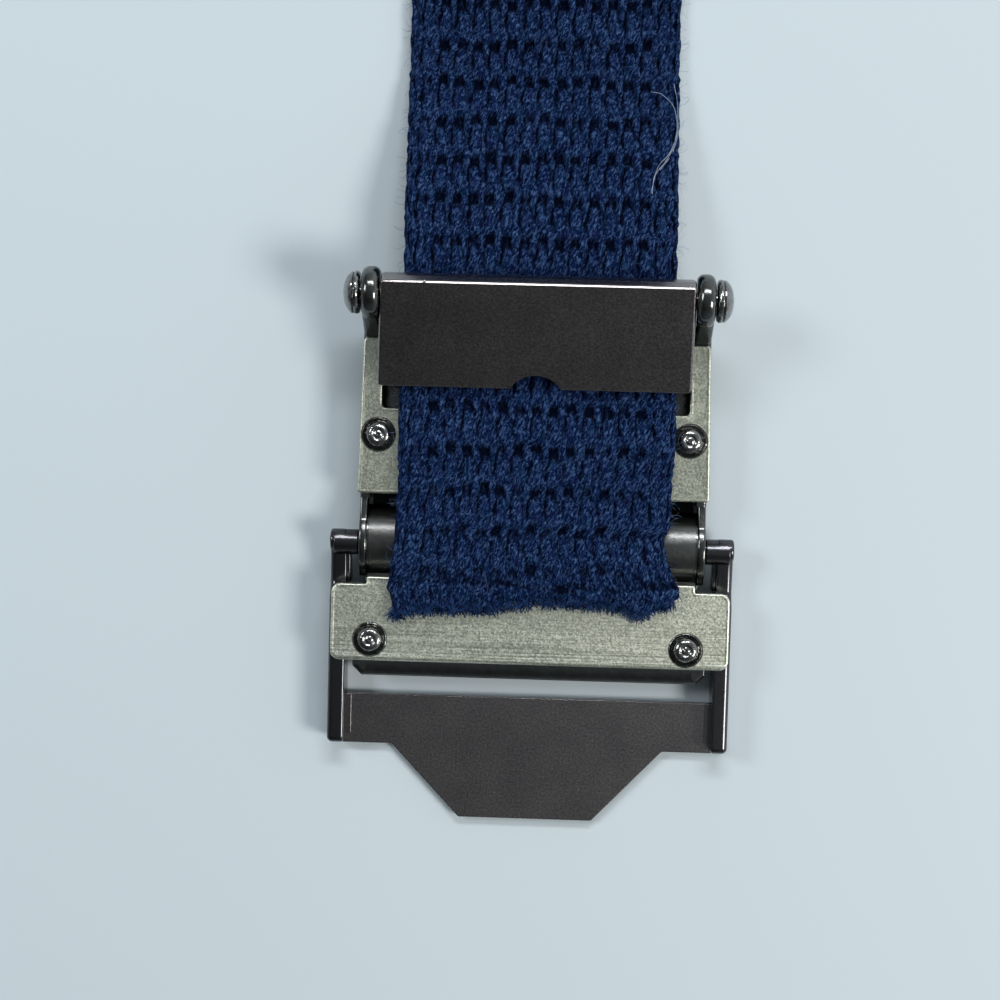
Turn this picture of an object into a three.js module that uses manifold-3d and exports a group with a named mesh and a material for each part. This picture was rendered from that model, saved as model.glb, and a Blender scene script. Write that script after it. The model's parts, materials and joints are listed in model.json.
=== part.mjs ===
/**
 * Canvas web belt: the buckle end of a cut-to-length cotton belt, lying face down.
 *
 * Millimetres, +Z up. The buckle's front face rests on z = 0 and the strap runs off towards +Y.
 * Sizes along Y are taken from the lever's hinge line, which is y = 0 while the pieces are
 * made. The finished group is then moved so that the origin is the middle of the outline.
 */
import * as THREE from 'three';
import { mergeVertices } from 'three/addons/utils/BufferGeometryUtils.js';
import Module from 'manifold-3d';

const wasm = await Module();
wasm.setup();

// Fits
const CLEARANCE = 0.3; // between pieces that rest on each other or turn in each other
const OVERRUN = 2; // how far a cutting tool stands out of the piece that it cuts
const BLEND = 0.4; // how far joined lumps of one casting run into each other
const ROUND_SIDES = 24; // sides of a round piece

// Webbing strap
const STRAP_WIDTH = 38;
const STRAP_THICKNESS = 2.2;
const STRAP_TAIL = 8.6; // from the hinge line back to the cut end
const STRAP_RUN = 52.2; // from the clamp pin to the far end
const STRAP_DROP_LEVEL = 1.5; // level stretch past the clamp pin, before the strap drops
const STRAP_DROP_RUN = 35; // stretch along which it comes down to the table

// Die-cast body
const STRAP_MARGIN = 5.3; // from the strap's edge to the side of the body
const BODY_NEAR = 3; // from the hinge line to the front face's edge below the barrel
const BODY_FAR = 31.5; // from the hinge line to the far edge
const FACE_THICKNESS = 1.2;
const WALL = 1.4;
const FAR_WALL = 4.5;
const BOSS_RADIUS = 2.4;
const BOSS_FLOOR = 2; // height of the rivet hole's floor

// Hinge barrel and its cheeks
const BARREL_RADIUS = 5.1;
const BARREL_WALL = 1.2;
const BARREL_SINK = 0.1; // the crest lies this far below the plates
const BARREL_GAP = 1; // between the barrel and the tray's near wall
const CHEEK_THICKNESS = 1.45;
const CHEEK_STEP = 0.3; // how far a cheek stands out of the body's side
const CHEEK_LAP = 0.3; // how far a cheek reaches past the barrel
const CHEEK_SINK = 0.2;

// Pale plates
const PLATE_TOP = 6.9; // height of both plates above the table
const PLATE_THICKNESS = 1.2;
const UPPER_PLATE_OVERHANG = 0.3; // past each side of the body
const UPPER_PLATE_STEP = 0.7; // from the near wall's outside to the plate's near edge
const UPPER_PLATE_SETBACK = 3.2; // from the body's far edge to the plate's
const PLATE_CORNER_GAP = 0.9; // between a far corner's step and the ear's neck
const WINDOW_RAIL = 3.2; // plate left at each end of the window
const WINDOW_LENGTH = 5;
const WINDOW_SETBACK = 3.2; // from the pocket's far end to the window
const LOWER_PLATE_GAP = 0.5; // between the cheeks and the plate
const LOWER_PLATE_LENGTH = 10.8;
const LOWER_PLATE_MARGIN = 0.45; // lever left showing at each side of the plate
const LOWER_PLATE_CORNER = 1.5;
const LOWER_PLATE_STEP = 1.05; // how far the middle stands out towards the barrel
const LOWER_STEP_GAP = 0.15; // between that middle and the cheeks

// Ledge under the lower plate, and its jaw lip
const LEDGE_OVERHANG = 0.3; // past the outside of each cheek
const LEDGE_SHOW = 2.3; // how far it reaches past the plate
const LEDGE_THICKNESS = 1.2;
const LEDGE_CHAMFER = 1.2;
const JAW_LIP = 1.4; // thickness of the lip that turns down at the ledge's end
const JAW_DEPTH = 2.4;

// Rivets
const RIVET_HEAD_RADIUS = 1.8;
const RIVET_HEAD_HEIGHT = 1.15;
const RIVET_SHANK_RADIUS = 1.1;
const RECESS_RADIUS = 2.4;
const RECESS_DEPTH = 0.5;
const UPPER_RIVET_INSET = 2.6; // from the body's side
const UPPER_RIVET_SETBACK = 8.1; // from the plate's near edge
const LOWER_RIVET_INSET = 2.9; // from the ledge's side
const LOWER_RIVET_SETBACK = 3; // from the plate's far edge

// Clamp pin and ears
const PIN_LEAN = 2.8; // how far the pin stands past the body's far edge
const PIN_RADIUS = 1.25;
const PIN_HEAD_RADIUS = 2.95;
const PIN_HEAD_THICKNESS = 2.1;
const EAR_INSET = 0.2; // from the body's side
const EAR_THICKNESS = 2.5;
const EAR_RADIUS = 3.6;
const NECK_THICKNESS = 1.8;
const NECK_SETBACK = 0.2; // from the far wall's inside
const NECK_FRONT_ANGLE = 200; // where the neck's near edge meets the eye, in degrees
const NECK_BACK_ANGLE = -58;

// Clamp flap
const FLAP_SIDE_GAP = 0.35;
const FLAP_THICKNESS = 1.3;
const FLAP_LENGTH = 12.4;
const FLAP_CORNER = 0.8;
const NOTCH_WIDTH = 7;
const NOTCH_DEPTH = 2.05;

// Lever
const HINGE_DEPTH = 2.3; // from the plates' top down to the hinge line
const ARM_GAP = 1.1; // between the ledge and an arm
const ARM_THICKNESS = 2.35;
const ARM_HEEL = 3.9; // from the eye's rim to where the arm reaches its full depth
const ARM_FALL = 0.4; // how much lower the arm's end is
const ARM_SETBACK = 0.5; // from the tongue's shoulders to the arms' ends
const LEVER_EYE_RADIUS = 2.1;
const LEVER_BOSS_RADIUS = 1.95;
const TRUNNION_RADIUS = 1.2;
const TONGUE_THICKNESS = 1.5;
const TONGUE_GAP = 3.1; // between the ledge and the tongue
const TONGUE_BAR = 7.2; // full-width part of the tongue
const TONGUE_REACH = 10.3; // from its shoulders to its tip
const SHOULDER_WIDTH = 38.8;
const TIP_WIDTH = 19.1;

// Heights that follow from the sizes above
const plateUnder = PLATE_TOP - PLATE_THICKNESS;
const bodyTop = plateUnder - CLEARANCE;
const ledgeUnder = bodyTop - LEDGE_THICKNESS;
const strapSeat = PLATE_TOP + CLEARANCE;
const strapTop = strapSeat + STRAP_THICKNESS;
const curlInside = PIN_RADIUS + CLEARANCE;
const curlRadius = curlInside + FLAP_THICKNESS;
const pinHeight = strapTop + CLEARANCE + curlRadius;
const barrelTop = PLATE_TOP - BARREL_SINK;
const barrelHeight = barrelTop - BARREL_RADIUS;
const hingeHeight = PLATE_TOP - HINGE_DEPTH;

// Places across, from the middle
const bodySide = STRAP_WIDTH / 2 + STRAP_MARGIN;
const cheekOutside = bodySide + CHEEK_STEP;
const cheekInside = cheekOutside - CHEEK_THICKNESS;
const upperPlateSide = bodySide + UPPER_PLATE_OVERHANG;
const upperRivetX = bodySide - UPPER_RIVET_INSET;
const ledgeSide = cheekOutside + LEDGE_OVERHANG;
const lowerRivetX = ledgeSide - LOWER_RIVET_INSET;
const armInside = ledgeSide + ARM_GAP;
const armOutside = armInside + ARM_THICKNESS;
const lowerPlateSide = armOutside - LOWER_PLATE_MARGIN;
const earOutside = bodySide - EAR_INSET;
const earInside = earOutside - EAR_THICKNESS;
const neckOutside = earOutside - (EAR_THICKNESS - NECK_THICKNESS) / 2;
const neckInside = neckOutside - NECK_THICKNESS;
const flapSide = earInside - FLAP_SIDE_GAP;

// Places along, from the hinge line
const nearWall = BARREL_RADIUS + BARREL_GAP;
const pocketNear = nearWall + WALL;
const pocketFar = BODY_FAR - FAR_WALL;
const neckNear = pocketFar + NECK_SETBACK;
const upperPlateNear = nearWall + UPPER_PLATE_STEP;
const upperPlateFar = BODY_FAR - UPPER_PLATE_SETBACK;
const upperRivetY = upperPlateNear + UPPER_RIVET_SETBACK;
const windowFar = pocketFar - WINDOW_SETBACK;
const cheekNear = -(BARREL_RADIUS + CHEEK_LAP);
const lowerPlateNear = cheekNear - LOWER_PLATE_GAP;
const lowerPlateFar = lowerPlateNear - LOWER_PLATE_LENGTH;
const lowerRivetY = lowerPlateFar + LOWER_RIVET_SETBACK;
const ledgeEnd = lowerPlateFar - LEDGE_SHOW;
const tongueNear = ledgeEnd - TONGUE_GAP;
const tongueShoulder = tongueNear - TONGUE_BAR;
const tongueTip = tongueShoulder - TONGUE_REACH;
const armEnd = tongueShoulder + ARM_SETBACK;
const pinPlace = BODY_FAR + PIN_LEAN;
const strapFar = pinPlace + STRAP_RUN;
const middle = (strapFar + tongueTip) / 2;

// The strap's edges: place along it as a share of its length from the cut end,
// and how far each edge strays from half the width, as a share of that half width
const STRAP_EDGES = [
  { place: 0, left: 0.03, right: 0.09 },
  { place: 0.028, left: 0.05, right: 0.085 },
  { place: 0.05, left: 0.04, right: 0.035 },
  { place: 0.075, left: 0.02, right: -0.005 },
  { place: 0.11, left: 0.01, right: -0.036 },
  { place: 0.125, left: 0, right: 0.012 },
  { place: 0.19, left: -0.01, right: 0.012 },
  { place: 0.27, left: 0, right: 0.02 },
  { place: 0.31, left: 0.003, right: 0.02 },
  { place: 0.5, left: -0.02, right: 0 },
  { place: 0.62, left: -0.004, right: 0 },
  { place: 1, left: 0, right: 0 },
];

// The cut end: place across the strap as a share of its width, and how far the end
// falls short of the tail, as a share of the strap's thickness
const CUT_END = [
  { across: 0, short: 0.1 },
  { across: 0.03, short: -0.4 },
  { across: 0.17, short: -0.18 },
  { across: 0.41, short: 0.14 },
  { across: 0.53, short: 0.57 },
  { across: 0.74, short: 0.36 },
  { across: 0.86, short: 0.25 },
  { across: 0.9, short: -0.18 },
  { across: 0.96, short: 0.5 },
  { across: 1, short: 1.1 },
];

// Rivet head: shares of its radius and of its height above the seat
const RIVET_DOME = [
  { radius: 1, height: 0 },
  { radius: 1, height: 0.35 },
  { radius: 0.86, height: 0.7 },
  { radius: 0.55, height: 1 },
  { radius: 0, height: 0.8 },
];

// Clamp pin head: shares of its radius and of its thickness, flange first
const PIN_DOME = [
  { radius: 0, height: 0 },
  { radius: 1, height: 0 },
  { radius: 1, height: 0.33 },
  { radius: 0.88, height: 0.4 },
  { radius: 0.8, height: 0.7 },
  { radius: 0.5, height: 0.95 },
  { radius: 0, height: 1 },
];

// The strap as a grid: cells across and along
const STRAP_CELLS = { across: 12, along: 44 };

const FINISH = {
  webbing: { color: 0x1c3763, roughness: 0.95, metalness: 0 },
  nickel: { color: 0x9a9b8c, roughness: 0.42, metalness: 1 },
  gunmetal: { color: 0x4a4647, roughness: 0.35, metalness: 1 },
  blackNickel: { color: 0x36383b, roughness: 0.18, metalness: 1 },
};

/** Straight-line reading of a table of rows between two named columns. */
function readTable(rows, keyColumn, valueColumn, key) {
  const next = rows.findIndex((row) => row[keyColumn] >= key);
  if (next <= 0) return rows[0][valueColumn];
  const [low, high] = [rows[next - 1], rows[next]];
  const share = (key - low[keyColumn]) / (high[keyColumn] - low[keyColumn]);
  return THREE.MathUtils.lerp(low[valueColumn], high[valueColumn], share);
}

/** A closed geometry as a solid that can be joined and cut. */
function toSolid(geometry) {
  const bare = geometry.clone();
  bare.deleteAttribute('normal');
  bare.deleteAttribute('uv');
  const merged = mergeVertices(bare, 1e-4);
  const vertProperties = new Float32Array(merged.attributes.position.array);
  const triVerts = new Uint32Array(merged.index.array);
  return new wasm.Manifold(new wasm.Mesh({ numProp: 3, vertProperties, triVerts }));
}

/** A joined or cut solid as a geometry. */
function toGeometry(solid) {
  const mesh = solid.getMesh();
  const geometry = new THREE.BufferGeometry();
  geometry.setAttribute('position', new THREE.BufferAttribute(mesh.vertProperties, 3));
  geometry.setIndex(new THREE.BufferAttribute(mesh.triVerts, 1));
  geometry.computeVertexNormals();
  return geometry;
}

/** The first geometry with the added ones joined to it and the cut ones taken away. */
function combine(base, { add = [], cut = [] }) {
  let solid = toSolid(base);
  for (const piece of add) solid = solid.add(toSolid(piece));
  for (const piece of cut) solid = solid.subtract(toSolid(piece));
  return toGeometry(solid);
}

/** What two geometries have in common. */
function common(first, second) {
  return toGeometry(toSolid(first).intersect(toSolid(second)));
}

/** A block between two corners. */
function block(x0, x1, y0, y1, z0, z1) {
  const geometry = new THREE.BoxGeometry(x1 - x0, y1 - y0, z1 - z0);
  return geometry.translate((x0 + x1) / 2, (y0 + y1) / 2, (z0 + z1) / 2);
}

/** An outline in X and Y, made solid between two heights. */
function slab(outline, z0, z1) {
  const options = { depth: z1 - z0, bevelEnabled: false, curveSegments: 6 };
  return new THREE.ExtrudeGeometry(outline, options).translate(0, 0, z0);
}

/** An outline in Y and Z, made solid between two places along X. */
function bar(outline, x0, x1) {
  const options = { depth: x1 - x0, bevelEnabled: false, curveSegments: 20 };
  const turn = new THREE.Matrix4().makeBasis(
    new THREE.Vector3(0, 1, 0),
    new THREE.Vector3(0, 0, 1),
    new THREE.Vector3(1, 0, 0),
  );
  return new THREE.ExtrudeGeometry(outline, options).applyMatrix4(turn).translate(x0, 0, 0);
}

/** A round rod along X. */
function rodAlongX(radius, x0, x1, y, z, sides = ROUND_SIDES) {
  const rod = new THREE.CylinderGeometry(radius, radius, x1 - x0, sides);
  return rod.rotateZ(Math.PI / 2).translate((x0 + x1) / 2, y, z);
}

/** A round rod along Z. */
function rodAlongZ(radius, x, y, z0, z1, sides = ROUND_SIDES) {
  const rod = new THREE.CylinderGeometry(radius, radius, z1 - z0, sides);
  return rod.rotateX(Math.PI / 2).translate(x, y, (z0 + z1) / 2);
}

/** The same span on the left (-1) or right (+1) side, as ascending x limits. */
function sideSpan(side, inner, outer) {
  return side > 0 ? [inner, outer] : [-outer, -inner];
}

/** A shape through a list of corners. */
function polygon(corners) {
  return new THREE.Shape(corners.map(([a, b]) => new THREE.Vector2(a, b)));
}

/** A symmetric plan outline, given its right half from the near end to the far end. */
function mirrored(half) {
  const left = half.map(([x, y]) => [-x, y]).reverse();
  return polygon([...half, ...left]);
}

/** Height of the strap's underside at a place along Y, and its slope there. */
function strapRise(y) {
  const share = (y - pinPlace - STRAP_DROP_LEVEL) / STRAP_DROP_RUN;
  const angle = Math.PI * THREE.MathUtils.clamp(share, 0, 1);
  return {
    height: (strapSeat * (1 + Math.cos(angle))) / 2,
    slope: (-strapSeat * Math.PI * Math.sin(angle)) / (2 * STRAP_DROP_RUN),
  };
}

/** Webbing, bent from a fine flat box along its run over the buckle and down to the table. */
function makeStrap() {
  const geometry = new THREE.BoxGeometry(1, 1, 1, STRAP_CELLS.across, STRAP_CELLS.along, 1);
  const place = geometry.attributes.position;
  for (let i = 0; i < place.count; i += 1) {
    const across = place.getX(i) + 0.5;
    const along = place.getY(i) + 0.5;
    const short = readTable(CUT_END, 'across', 'short', across) * STRAP_THICKNESS;
    const y = THREE.MathUtils.lerp(short - STRAP_TAIL, strapFar, along);
    const left = 1 + readTable(STRAP_EDGES, 'place', 'left', along);
    const right = 1 + readTable(STRAP_EDGES, 'place', 'right', along);
    const x = (THREE.MathUtils.lerp(-left, right, across) * STRAP_WIDTH) / 2;
    const { height, slope } = strapRise(y);
    const lift = ((place.getZ(i) + 0.5) * STRAP_THICKNESS) / Math.hypot(1, slope);
    place.setXYZ(i, x, y - slope * lift, height + lift);
  }
  return geometry;
}

/** Recess and hole for a rivet in a plate. */
function rivetSeat(x, y) {
  return [
    rodAlongZ(RECESS_RADIUS, x, y, PLATE_TOP - RECESS_DEPTH, PLATE_TOP + OVERRUN),
    rodAlongZ(RIVET_SHANK_RADIUS + CLEARANCE, x, y, plateUnder - OVERRUN, PLATE_TOP + OVERRUN),
  ];
}

/** A pair of rivet seats, left and right. */
function rivetSeats(x, y) {
  return [...rivetSeat(-x, y), ...rivetSeat(x, y)];
}

/** Upper pale plate, with its window and stepped far corners. */
function makeUpperPlate() {
  const cornerFar = neckNear - PLATE_CORNER_GAP;
  const outline = mirrored([
    [upperPlateSide, upperPlateNear],
    [upperPlateSide, cornerFar],
    [earInside, cornerFar],
    [earInside, upperPlateFar],
  ]);
  const windowSide = upperPlateSide - WINDOW_RAIL;
  const windowNear = windowFar - WINDOW_LENGTH;
  const window = block(-windowSide, windowSide, windowNear, windowFar, 0, PLATE_TOP + OVERRUN);
  return combine(slab(outline, plateUnder, PLATE_TOP), {
    cut: [window, ...rivetSeats(upperRivetX, upperRivetY)],
  });
}

/** Lower pale plate, round-cornered, with its middle stepped out towards the barrel. */
function makeLowerPlate() {
  const side = lowerPlateSide;
  const near = lowerPlateNear;
  const far = lowerPlateFar;
  const r = LOWER_PLATE_CORNER;
  const stepX = cheekInside - LOWER_STEP_GAP;
  const outline = new THREE.Shape();
  outline.moveTo(-side + r, far);
  outline.lineTo(side - r, far);
  outline.absarc(side - r, far + r, r, -Math.PI / 2, 0, false);
  outline.absarc(side - r, near - r, r, 0, Math.PI / 2, false);
  outline.lineTo(stepX, near);
  outline.lineTo(stepX, near + LOWER_PLATE_STEP);
  outline.lineTo(-stepX, near + LOWER_PLATE_STEP);
  outline.lineTo(-stepX, near);
  outline.absarc(-side + r, near - r, r, Math.PI / 2, Math.PI, false);
  outline.absarc(-side + r, far + r, r, Math.PI, Math.PI * 1.5, false);
  return combine(slab(outline, plateUnder, PLATE_TOP), {
    cut: rivetSeats(lowerRivetX, lowerRivetY),
  });
}

/** Solid of revolution about Z from pairs of radius and height. */
function turned(profile) {
  const points = profile.map(([r, z]) => new THREE.Vector2(r, z));
  return new THREE.LatheGeometry(points, ROUND_SIDES).rotateX(Math.PI / 2);
}

/** Domed rivet with a peened dimple, its shank reaching down to a given height. */
function makeRivet(shankEnd) {
  const seat = PLATE_TOP - RECESS_DEPTH + CLEARANCE;
  const dome = RIVET_DOME.map(({ radius, height }) => [
    radius * RIVET_HEAD_RADIUS,
    seat + height * RIVET_HEAD_HEIGHT,
  ]);
  return turned([
    [0, shankEnd],
    [RIVET_SHANK_RADIUS, shankEnd],
    [RIVET_SHANK_RADIUS, seat],
    ...dome,
  ]);
}

/** Face tray: the front plate and its low walls, with a boss under each upper rivet. */
function makeTray() {
  const tray = block(-bodySide, bodySide, -BODY_NEAR, BODY_FAR, 0, bodyTop);
  const pocketSide = bodySide - WALL;
  const above = bodyTop + OVERRUN;
  const pocket = block(-pocketSide, pocketSide, pocketNear, pocketFar, FACE_THICKNESS, above);
  const beside = bodySide + OVERRUN;
  const below = -BODY_NEAR - OVERRUN;
  const barrelRoom = block(-beside, beside, below, nearWall, FACE_THICKNESS, above);
  const open = combine(tray, { cut: [pocket, barrelRoom] });
  const holeRadius = RIVET_SHANK_RADIUS + CLEARANCE;
  const upright = (radius, side, z0, z1) =>
    rodAlongZ(radius, side * upperRivetX, upperRivetY, z0, z1);
  return combine(open, {
    add: [-1, 1].map((side) => upright(BOSS_RADIUS, side, FACE_THICKNESS - BLEND, bodyTop)),
    cut: [-1, 1].map((side) => upright(holeRadius, side, BOSS_FLOOR, above)),
  });
}

/** Barrel over the hinge line and the ledge that carries the lower plate. */
function makeBarrel() {
  const inner = BARREL_RADIUS - BARREL_WALL;
  const outerAngle = Math.asin((bodyTop - barrelHeight) / BARREL_RADIUS);
  const innerAngle = Math.asin((ledgeUnder - barrelHeight) / inner);
  const ledgeStart = -BARREL_RADIUS * Math.cos(outerAngle);
  const outline = new THREE.Shape();
  outline.moveTo(inner, 0);
  outline.lineTo(BARREL_RADIUS, 0);
  outline.lineTo(BARREL_RADIUS, barrelHeight);
  outline.absarc(0, barrelHeight, BARREL_RADIUS, 0, Math.PI - outerAngle, false);
  outline.lineTo(ledgeStart - BLEND, bodyTop);
  outline.lineTo(ledgeStart - BLEND, ledgeUnder);
  outline.absarc(0, barrelHeight, inner, Math.PI - innerAngle, 0, true);
  const barrelSide = cheekInside + BLEND;
  const ledge = mirrored([
    [ledgeSide - LEDGE_CHAMFER, ledgeEnd],
    [ledgeSide, ledgeEnd + LEDGE_CHAMFER],
    [ledgeSide, ledgeStart],
  ]);
  const lipSide = ledgeSide - LEDGE_CHAMFER;
  const lip = block(
    -lipSide, lipSide, ledgeEnd, ledgeEnd + JAW_LIP, bodyTop - JAW_DEPTH, bodyTop - BLEND,
  );
  const holeRadius = RIVET_SHANK_RADIUS + CLEARANCE;
  return combine(bar(outline, -barrelSide, barrelSide), {
    add: [slab(ledge, ledgeUnder, bodyTop), lip],
    cut: [-1, 1].map((side) =>
      rodAlongZ(holeRadius, side * lowerRivetX, lowerRivetY, 0, bodyTop + OVERRUN),
    ),
  });
}

/** One cheek beside the barrel. */
function makeCheek(side) {
  const [x0, x1] = sideSpan(side, cheekInside, cheekOutside);
  return block(x0, x1, cheekNear, nearWall + BLEND, 0, barrelTop - CHEEK_SINK);
}

/** The bore in one cheek, blind where it meets the barrel. */
function makeTrunnionBore(side) {
  const [x0, x1] = sideSpan(side, cheekInside, cheekOutside + OVERRUN);
  return rodAlongX(TRUNNION_RADIUS + CLEARANCE, x0, x1, 0, hingeHeight);
}

/** One ear: an eye round the clamp pin on a neck that leans out from the tray's far corner. */
function makeEar(side) {
  const [eyeStart, eyeEnd] = sideSpan(side, earInside, earOutside);
  const [neckStart, neckEnd] = sideSpan(side, neckInside, neckOutside);
  const eye = rodAlongX(EAR_RADIUS, eyeStart, eyeEnd, pinPlace, pinHeight);
  const onEye = (degrees) => {
    const angle = THREE.MathUtils.degToRad(degrees);
    const reach = EAR_RADIUS - BLEND / 4;
    return [pinPlace + reach * Math.cos(angle), pinHeight + reach * Math.sin(angle)];
  };
  const corners = [
    [neckNear, bodyTop - BLEND],
    [BODY_FAR, bodyTop - BLEND],
    onEye(NECK_BACK_ANGLE),
    [pinPlace, pinHeight],
    onEye(NECK_FRONT_ANGLE),
    [neckNear, PLATE_TOP],
  ];
  const neck = bar(polygon(corners), neckStart, neckEnd);
  const bore = rodAlongX(
    curlInside, eyeStart - OVERRUN, eyeEnd + OVERRUN, pinPlace, pinHeight,
  );
  return combine(eye, { add: [neck], cut: [bore] });
}

/** The whole die-cast body. */
function makeBody() {
  const cheeks = [-1, 1].map(makeCheek);
  const ears = [-1, 1].map(makeEar);
  const bores = [-1, 1].map(makeTrunnionBore);
  return combine(makeTray(), { add: [makeBarrel(), ...cheeks, ...ears], cut: bores });
}

/** Clamp pin with a flanged dome at each end, centred on its own axis. */
function makePin() {
  const shoulder = earOutside + CLEARANCE;
  const dome = PIN_DOME.map(({ radius, height }) => [
    radius * PIN_HEAD_RADIUS,
    height * PIN_HEAD_THICKNESS,
  ]);
  const heads = [-1, 1].map((side) => {
    const head = turned(dome).rotateY((side * Math.PI) / 2);
    return head.translate(side * shoulder, 0, 0);
  });
  const rod = rodAlongX(PIN_RADIUS, -shoulder - BLEND, shoulder + BLEND, 0, 0);
  return combine(rod, { add: heads });
}

/** How far the flap leans so that its free edge just clears the strap. */
function flapLean() {
  const arm = Math.hypot(curlInside, FLAP_LENGTH);
  return Math.acos(-curlRadius / arm) - Math.atan2(FLAP_LENGTH, curlInside);
}

/** Clamp flap round its own hinge axis, lying level: the curl, the plate and its notch. */
function makeFlap() {
  const start = Math.asin(curlInside / curlRadius);
  const profile = new THREE.Shape();
  profile.moveTo(-FLAP_LENGTH, curlInside);
  profile.lineTo(-curlRadius * Math.cos(start), curlInside);
  profile.absarc(0, 0, curlRadius, Math.PI - start, Math.PI * 2.5, false);
  profile.lineTo(-FLAP_LENGTH, curlRadius);
  const bore = new THREE.Path();
  bore.absarc(0, 0, curlInside, 0, Math.PI * 2, true);
  profile.holes.push(bore);
  const half = flapSide;
  const r = FLAP_CORNER;
  const plan = new THREE.Shape();
  plan.moveTo(-half + r, -FLAP_LENGTH);
  plan.absarc(half - r, -FLAP_LENGTH + r, r, -Math.PI / 2, 0, false);
  plan.lineTo(half, curlRadius + OVERRUN);
  plan.lineTo(-half, curlRadius + OVERRUN);
  plan.absarc(-half + r, -FLAP_LENGTH + r, r, Math.PI, Math.PI * 1.5, false);
  const deep = curlRadius + OVERRUN;
  const trimmed = common(bar(profile, -half, half), slab(plan, -deep, deep));
  const notchRadius = (NOTCH_WIDTH ** 2 / 4 + NOTCH_DEPTH ** 2) / (2 * NOTCH_DEPTH);
  const notchCentre = -FLAP_LENGTH - notchRadius + NOTCH_DEPTH;
  return combine(trimmed, {
    cut: [rodAlongZ(notchRadius, 0, notchCentre, 0, deep)],
  });
}

/** One lever arm with its eye, its boss and the trunnion that turns in the cheek. */
function makeArm(side) {
  const [x0, x1] = sideSpan(side, armInside, armOutside);
  const [bossStart, bossEnd] = sideSpan(side, cheekOutside + CLEARANCE, armOutside - BLEND);
  const pinTip = cheekInside + CLEARANCE;
  const [pinStart, pinEnd] = sideSpan(side, pinTip, cheekOutside + CLEARANCE + BLEND);
  const heel = -LEVER_EYE_RADIUS - ARM_HEEL;
  const corners = [
    [heel, 0],
    [0, hingeHeight - LEVER_EYE_RADIUS + BLEND],
    [0, hingeHeight + LEVER_EYE_RADIUS - BLEND],
    [heel + BLEND, bodyTop],
    [armEnd, bodyTop - ARM_FALL],
    [armEnd, 0],
  ];
  return combine(bar(polygon(corners), x0, x1), {
    add: [
      rodAlongX(LEVER_EYE_RADIUS, x0, x1, 0, hingeHeight),
      rodAlongX(LEVER_BOSS_RADIUS, bossStart, bossEnd, 0, hingeHeight),
      rodAlongX(TRUNNION_RADIUS, pinStart, pinEnd, 0, hingeHeight),
    ],
  });
}

/** Lever: two arms joined by the tongue. */
function makeLever() {
  const tongue = mirrored([
    [TIP_WIDTH / 2, tongueTip],
    [SHOULDER_WIDTH / 2, tongueShoulder],
    [armInside + BLEND, tongueShoulder + BLEND],
    [armInside + BLEND, tongueNear],
  ]);
  return combine(slab(tongue, 0, TONGUE_THICKNESS), { add: [-1, 1].map(makeArm) });
}

const belt = new THREE.Group();

/** Puts one named piece into the belt, at a place measured from the hinge line. */
function place(name, geometry, finish, x = 0, y = 0, z = 0) {
  const mesh = new THREE.Mesh(geometry, new THREE.MeshStandardMaterial(finish));
  mesh.name = name;
  mesh.position.set(x, y - middle, z);
  belt.add(mesh);
  return mesh;
}

place('web_strap', makeStrap(), FINISH.webbing);
place('buckle_body', makeBody(), FINISH.gunmetal);
place('clamp_base', makeUpperPlate(), FINISH.nickel);
place('lower_plate', makeLowerPlate(), FINISH.nickel);
for (const [name, side] of [['left', -1], ['right', 1]]) {
  const upper = makeRivet(BOSS_FLOOR + CLEARANCE);
  const lower = makeRivet(ledgeUnder);
  place(`upper_rivet_${name}`, upper, FINISH.blackNickel, side * upperRivetX, upperRivetY);
  place(`lower_rivet_${name}`, lower, FINISH.blackNickel, side * lowerRivetX, lowerRivetY);
}
place('clamp_pin', makePin(), FINISH.blackNickel, 0, pinPlace, pinHeight);
const flap = place('clamp_flap', makeFlap(), FINISH.gunmetal, 0, pinPlace, pinHeight);
flap.rotation.x = flapLean();
place('lever_frame', makeLever(), FINISH.gunmetal);

export default belt;
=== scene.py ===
"""Buckle end of a canvas web belt: webbing, plates, lever and clamp, dressed for the camera.

Lengths in the classes are millimetres. A place along the belt is measured from the lever's
hinge line, positive towards the clamp pin, and is moved to the frame's own origin when a
mesh is made.
"""
from __future__ import annotations

import json
import logging
import math
from collections.abc import Callable, Sequence
from dataclasses import dataclass, field, replace
from enum import Enum

import bpy
import numpy as np
from bpy.types import ID, Material, Mesh, Node, NodeSocket, NodeTree, Object
from mathutils import Matrix, Vector

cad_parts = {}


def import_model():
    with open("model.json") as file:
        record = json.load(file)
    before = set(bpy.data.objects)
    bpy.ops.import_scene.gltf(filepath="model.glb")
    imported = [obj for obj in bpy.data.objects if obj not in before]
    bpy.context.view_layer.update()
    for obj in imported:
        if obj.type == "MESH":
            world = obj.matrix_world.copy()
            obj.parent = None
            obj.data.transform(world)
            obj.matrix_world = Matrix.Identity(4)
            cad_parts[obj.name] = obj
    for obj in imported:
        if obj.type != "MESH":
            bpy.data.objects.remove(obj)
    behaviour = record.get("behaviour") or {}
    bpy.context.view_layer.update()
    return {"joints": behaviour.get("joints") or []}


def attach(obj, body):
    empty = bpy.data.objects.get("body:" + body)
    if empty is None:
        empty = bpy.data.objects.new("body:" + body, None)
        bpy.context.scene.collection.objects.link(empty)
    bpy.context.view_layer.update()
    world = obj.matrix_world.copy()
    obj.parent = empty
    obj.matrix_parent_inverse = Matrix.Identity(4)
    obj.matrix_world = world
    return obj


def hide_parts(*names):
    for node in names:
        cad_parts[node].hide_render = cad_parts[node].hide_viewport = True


log = logging.getLogger("web_belt")

MM = 0.001
QUARTER = math.pi / 2
SMOOTH_ANGLE = math.radians(32)
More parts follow.
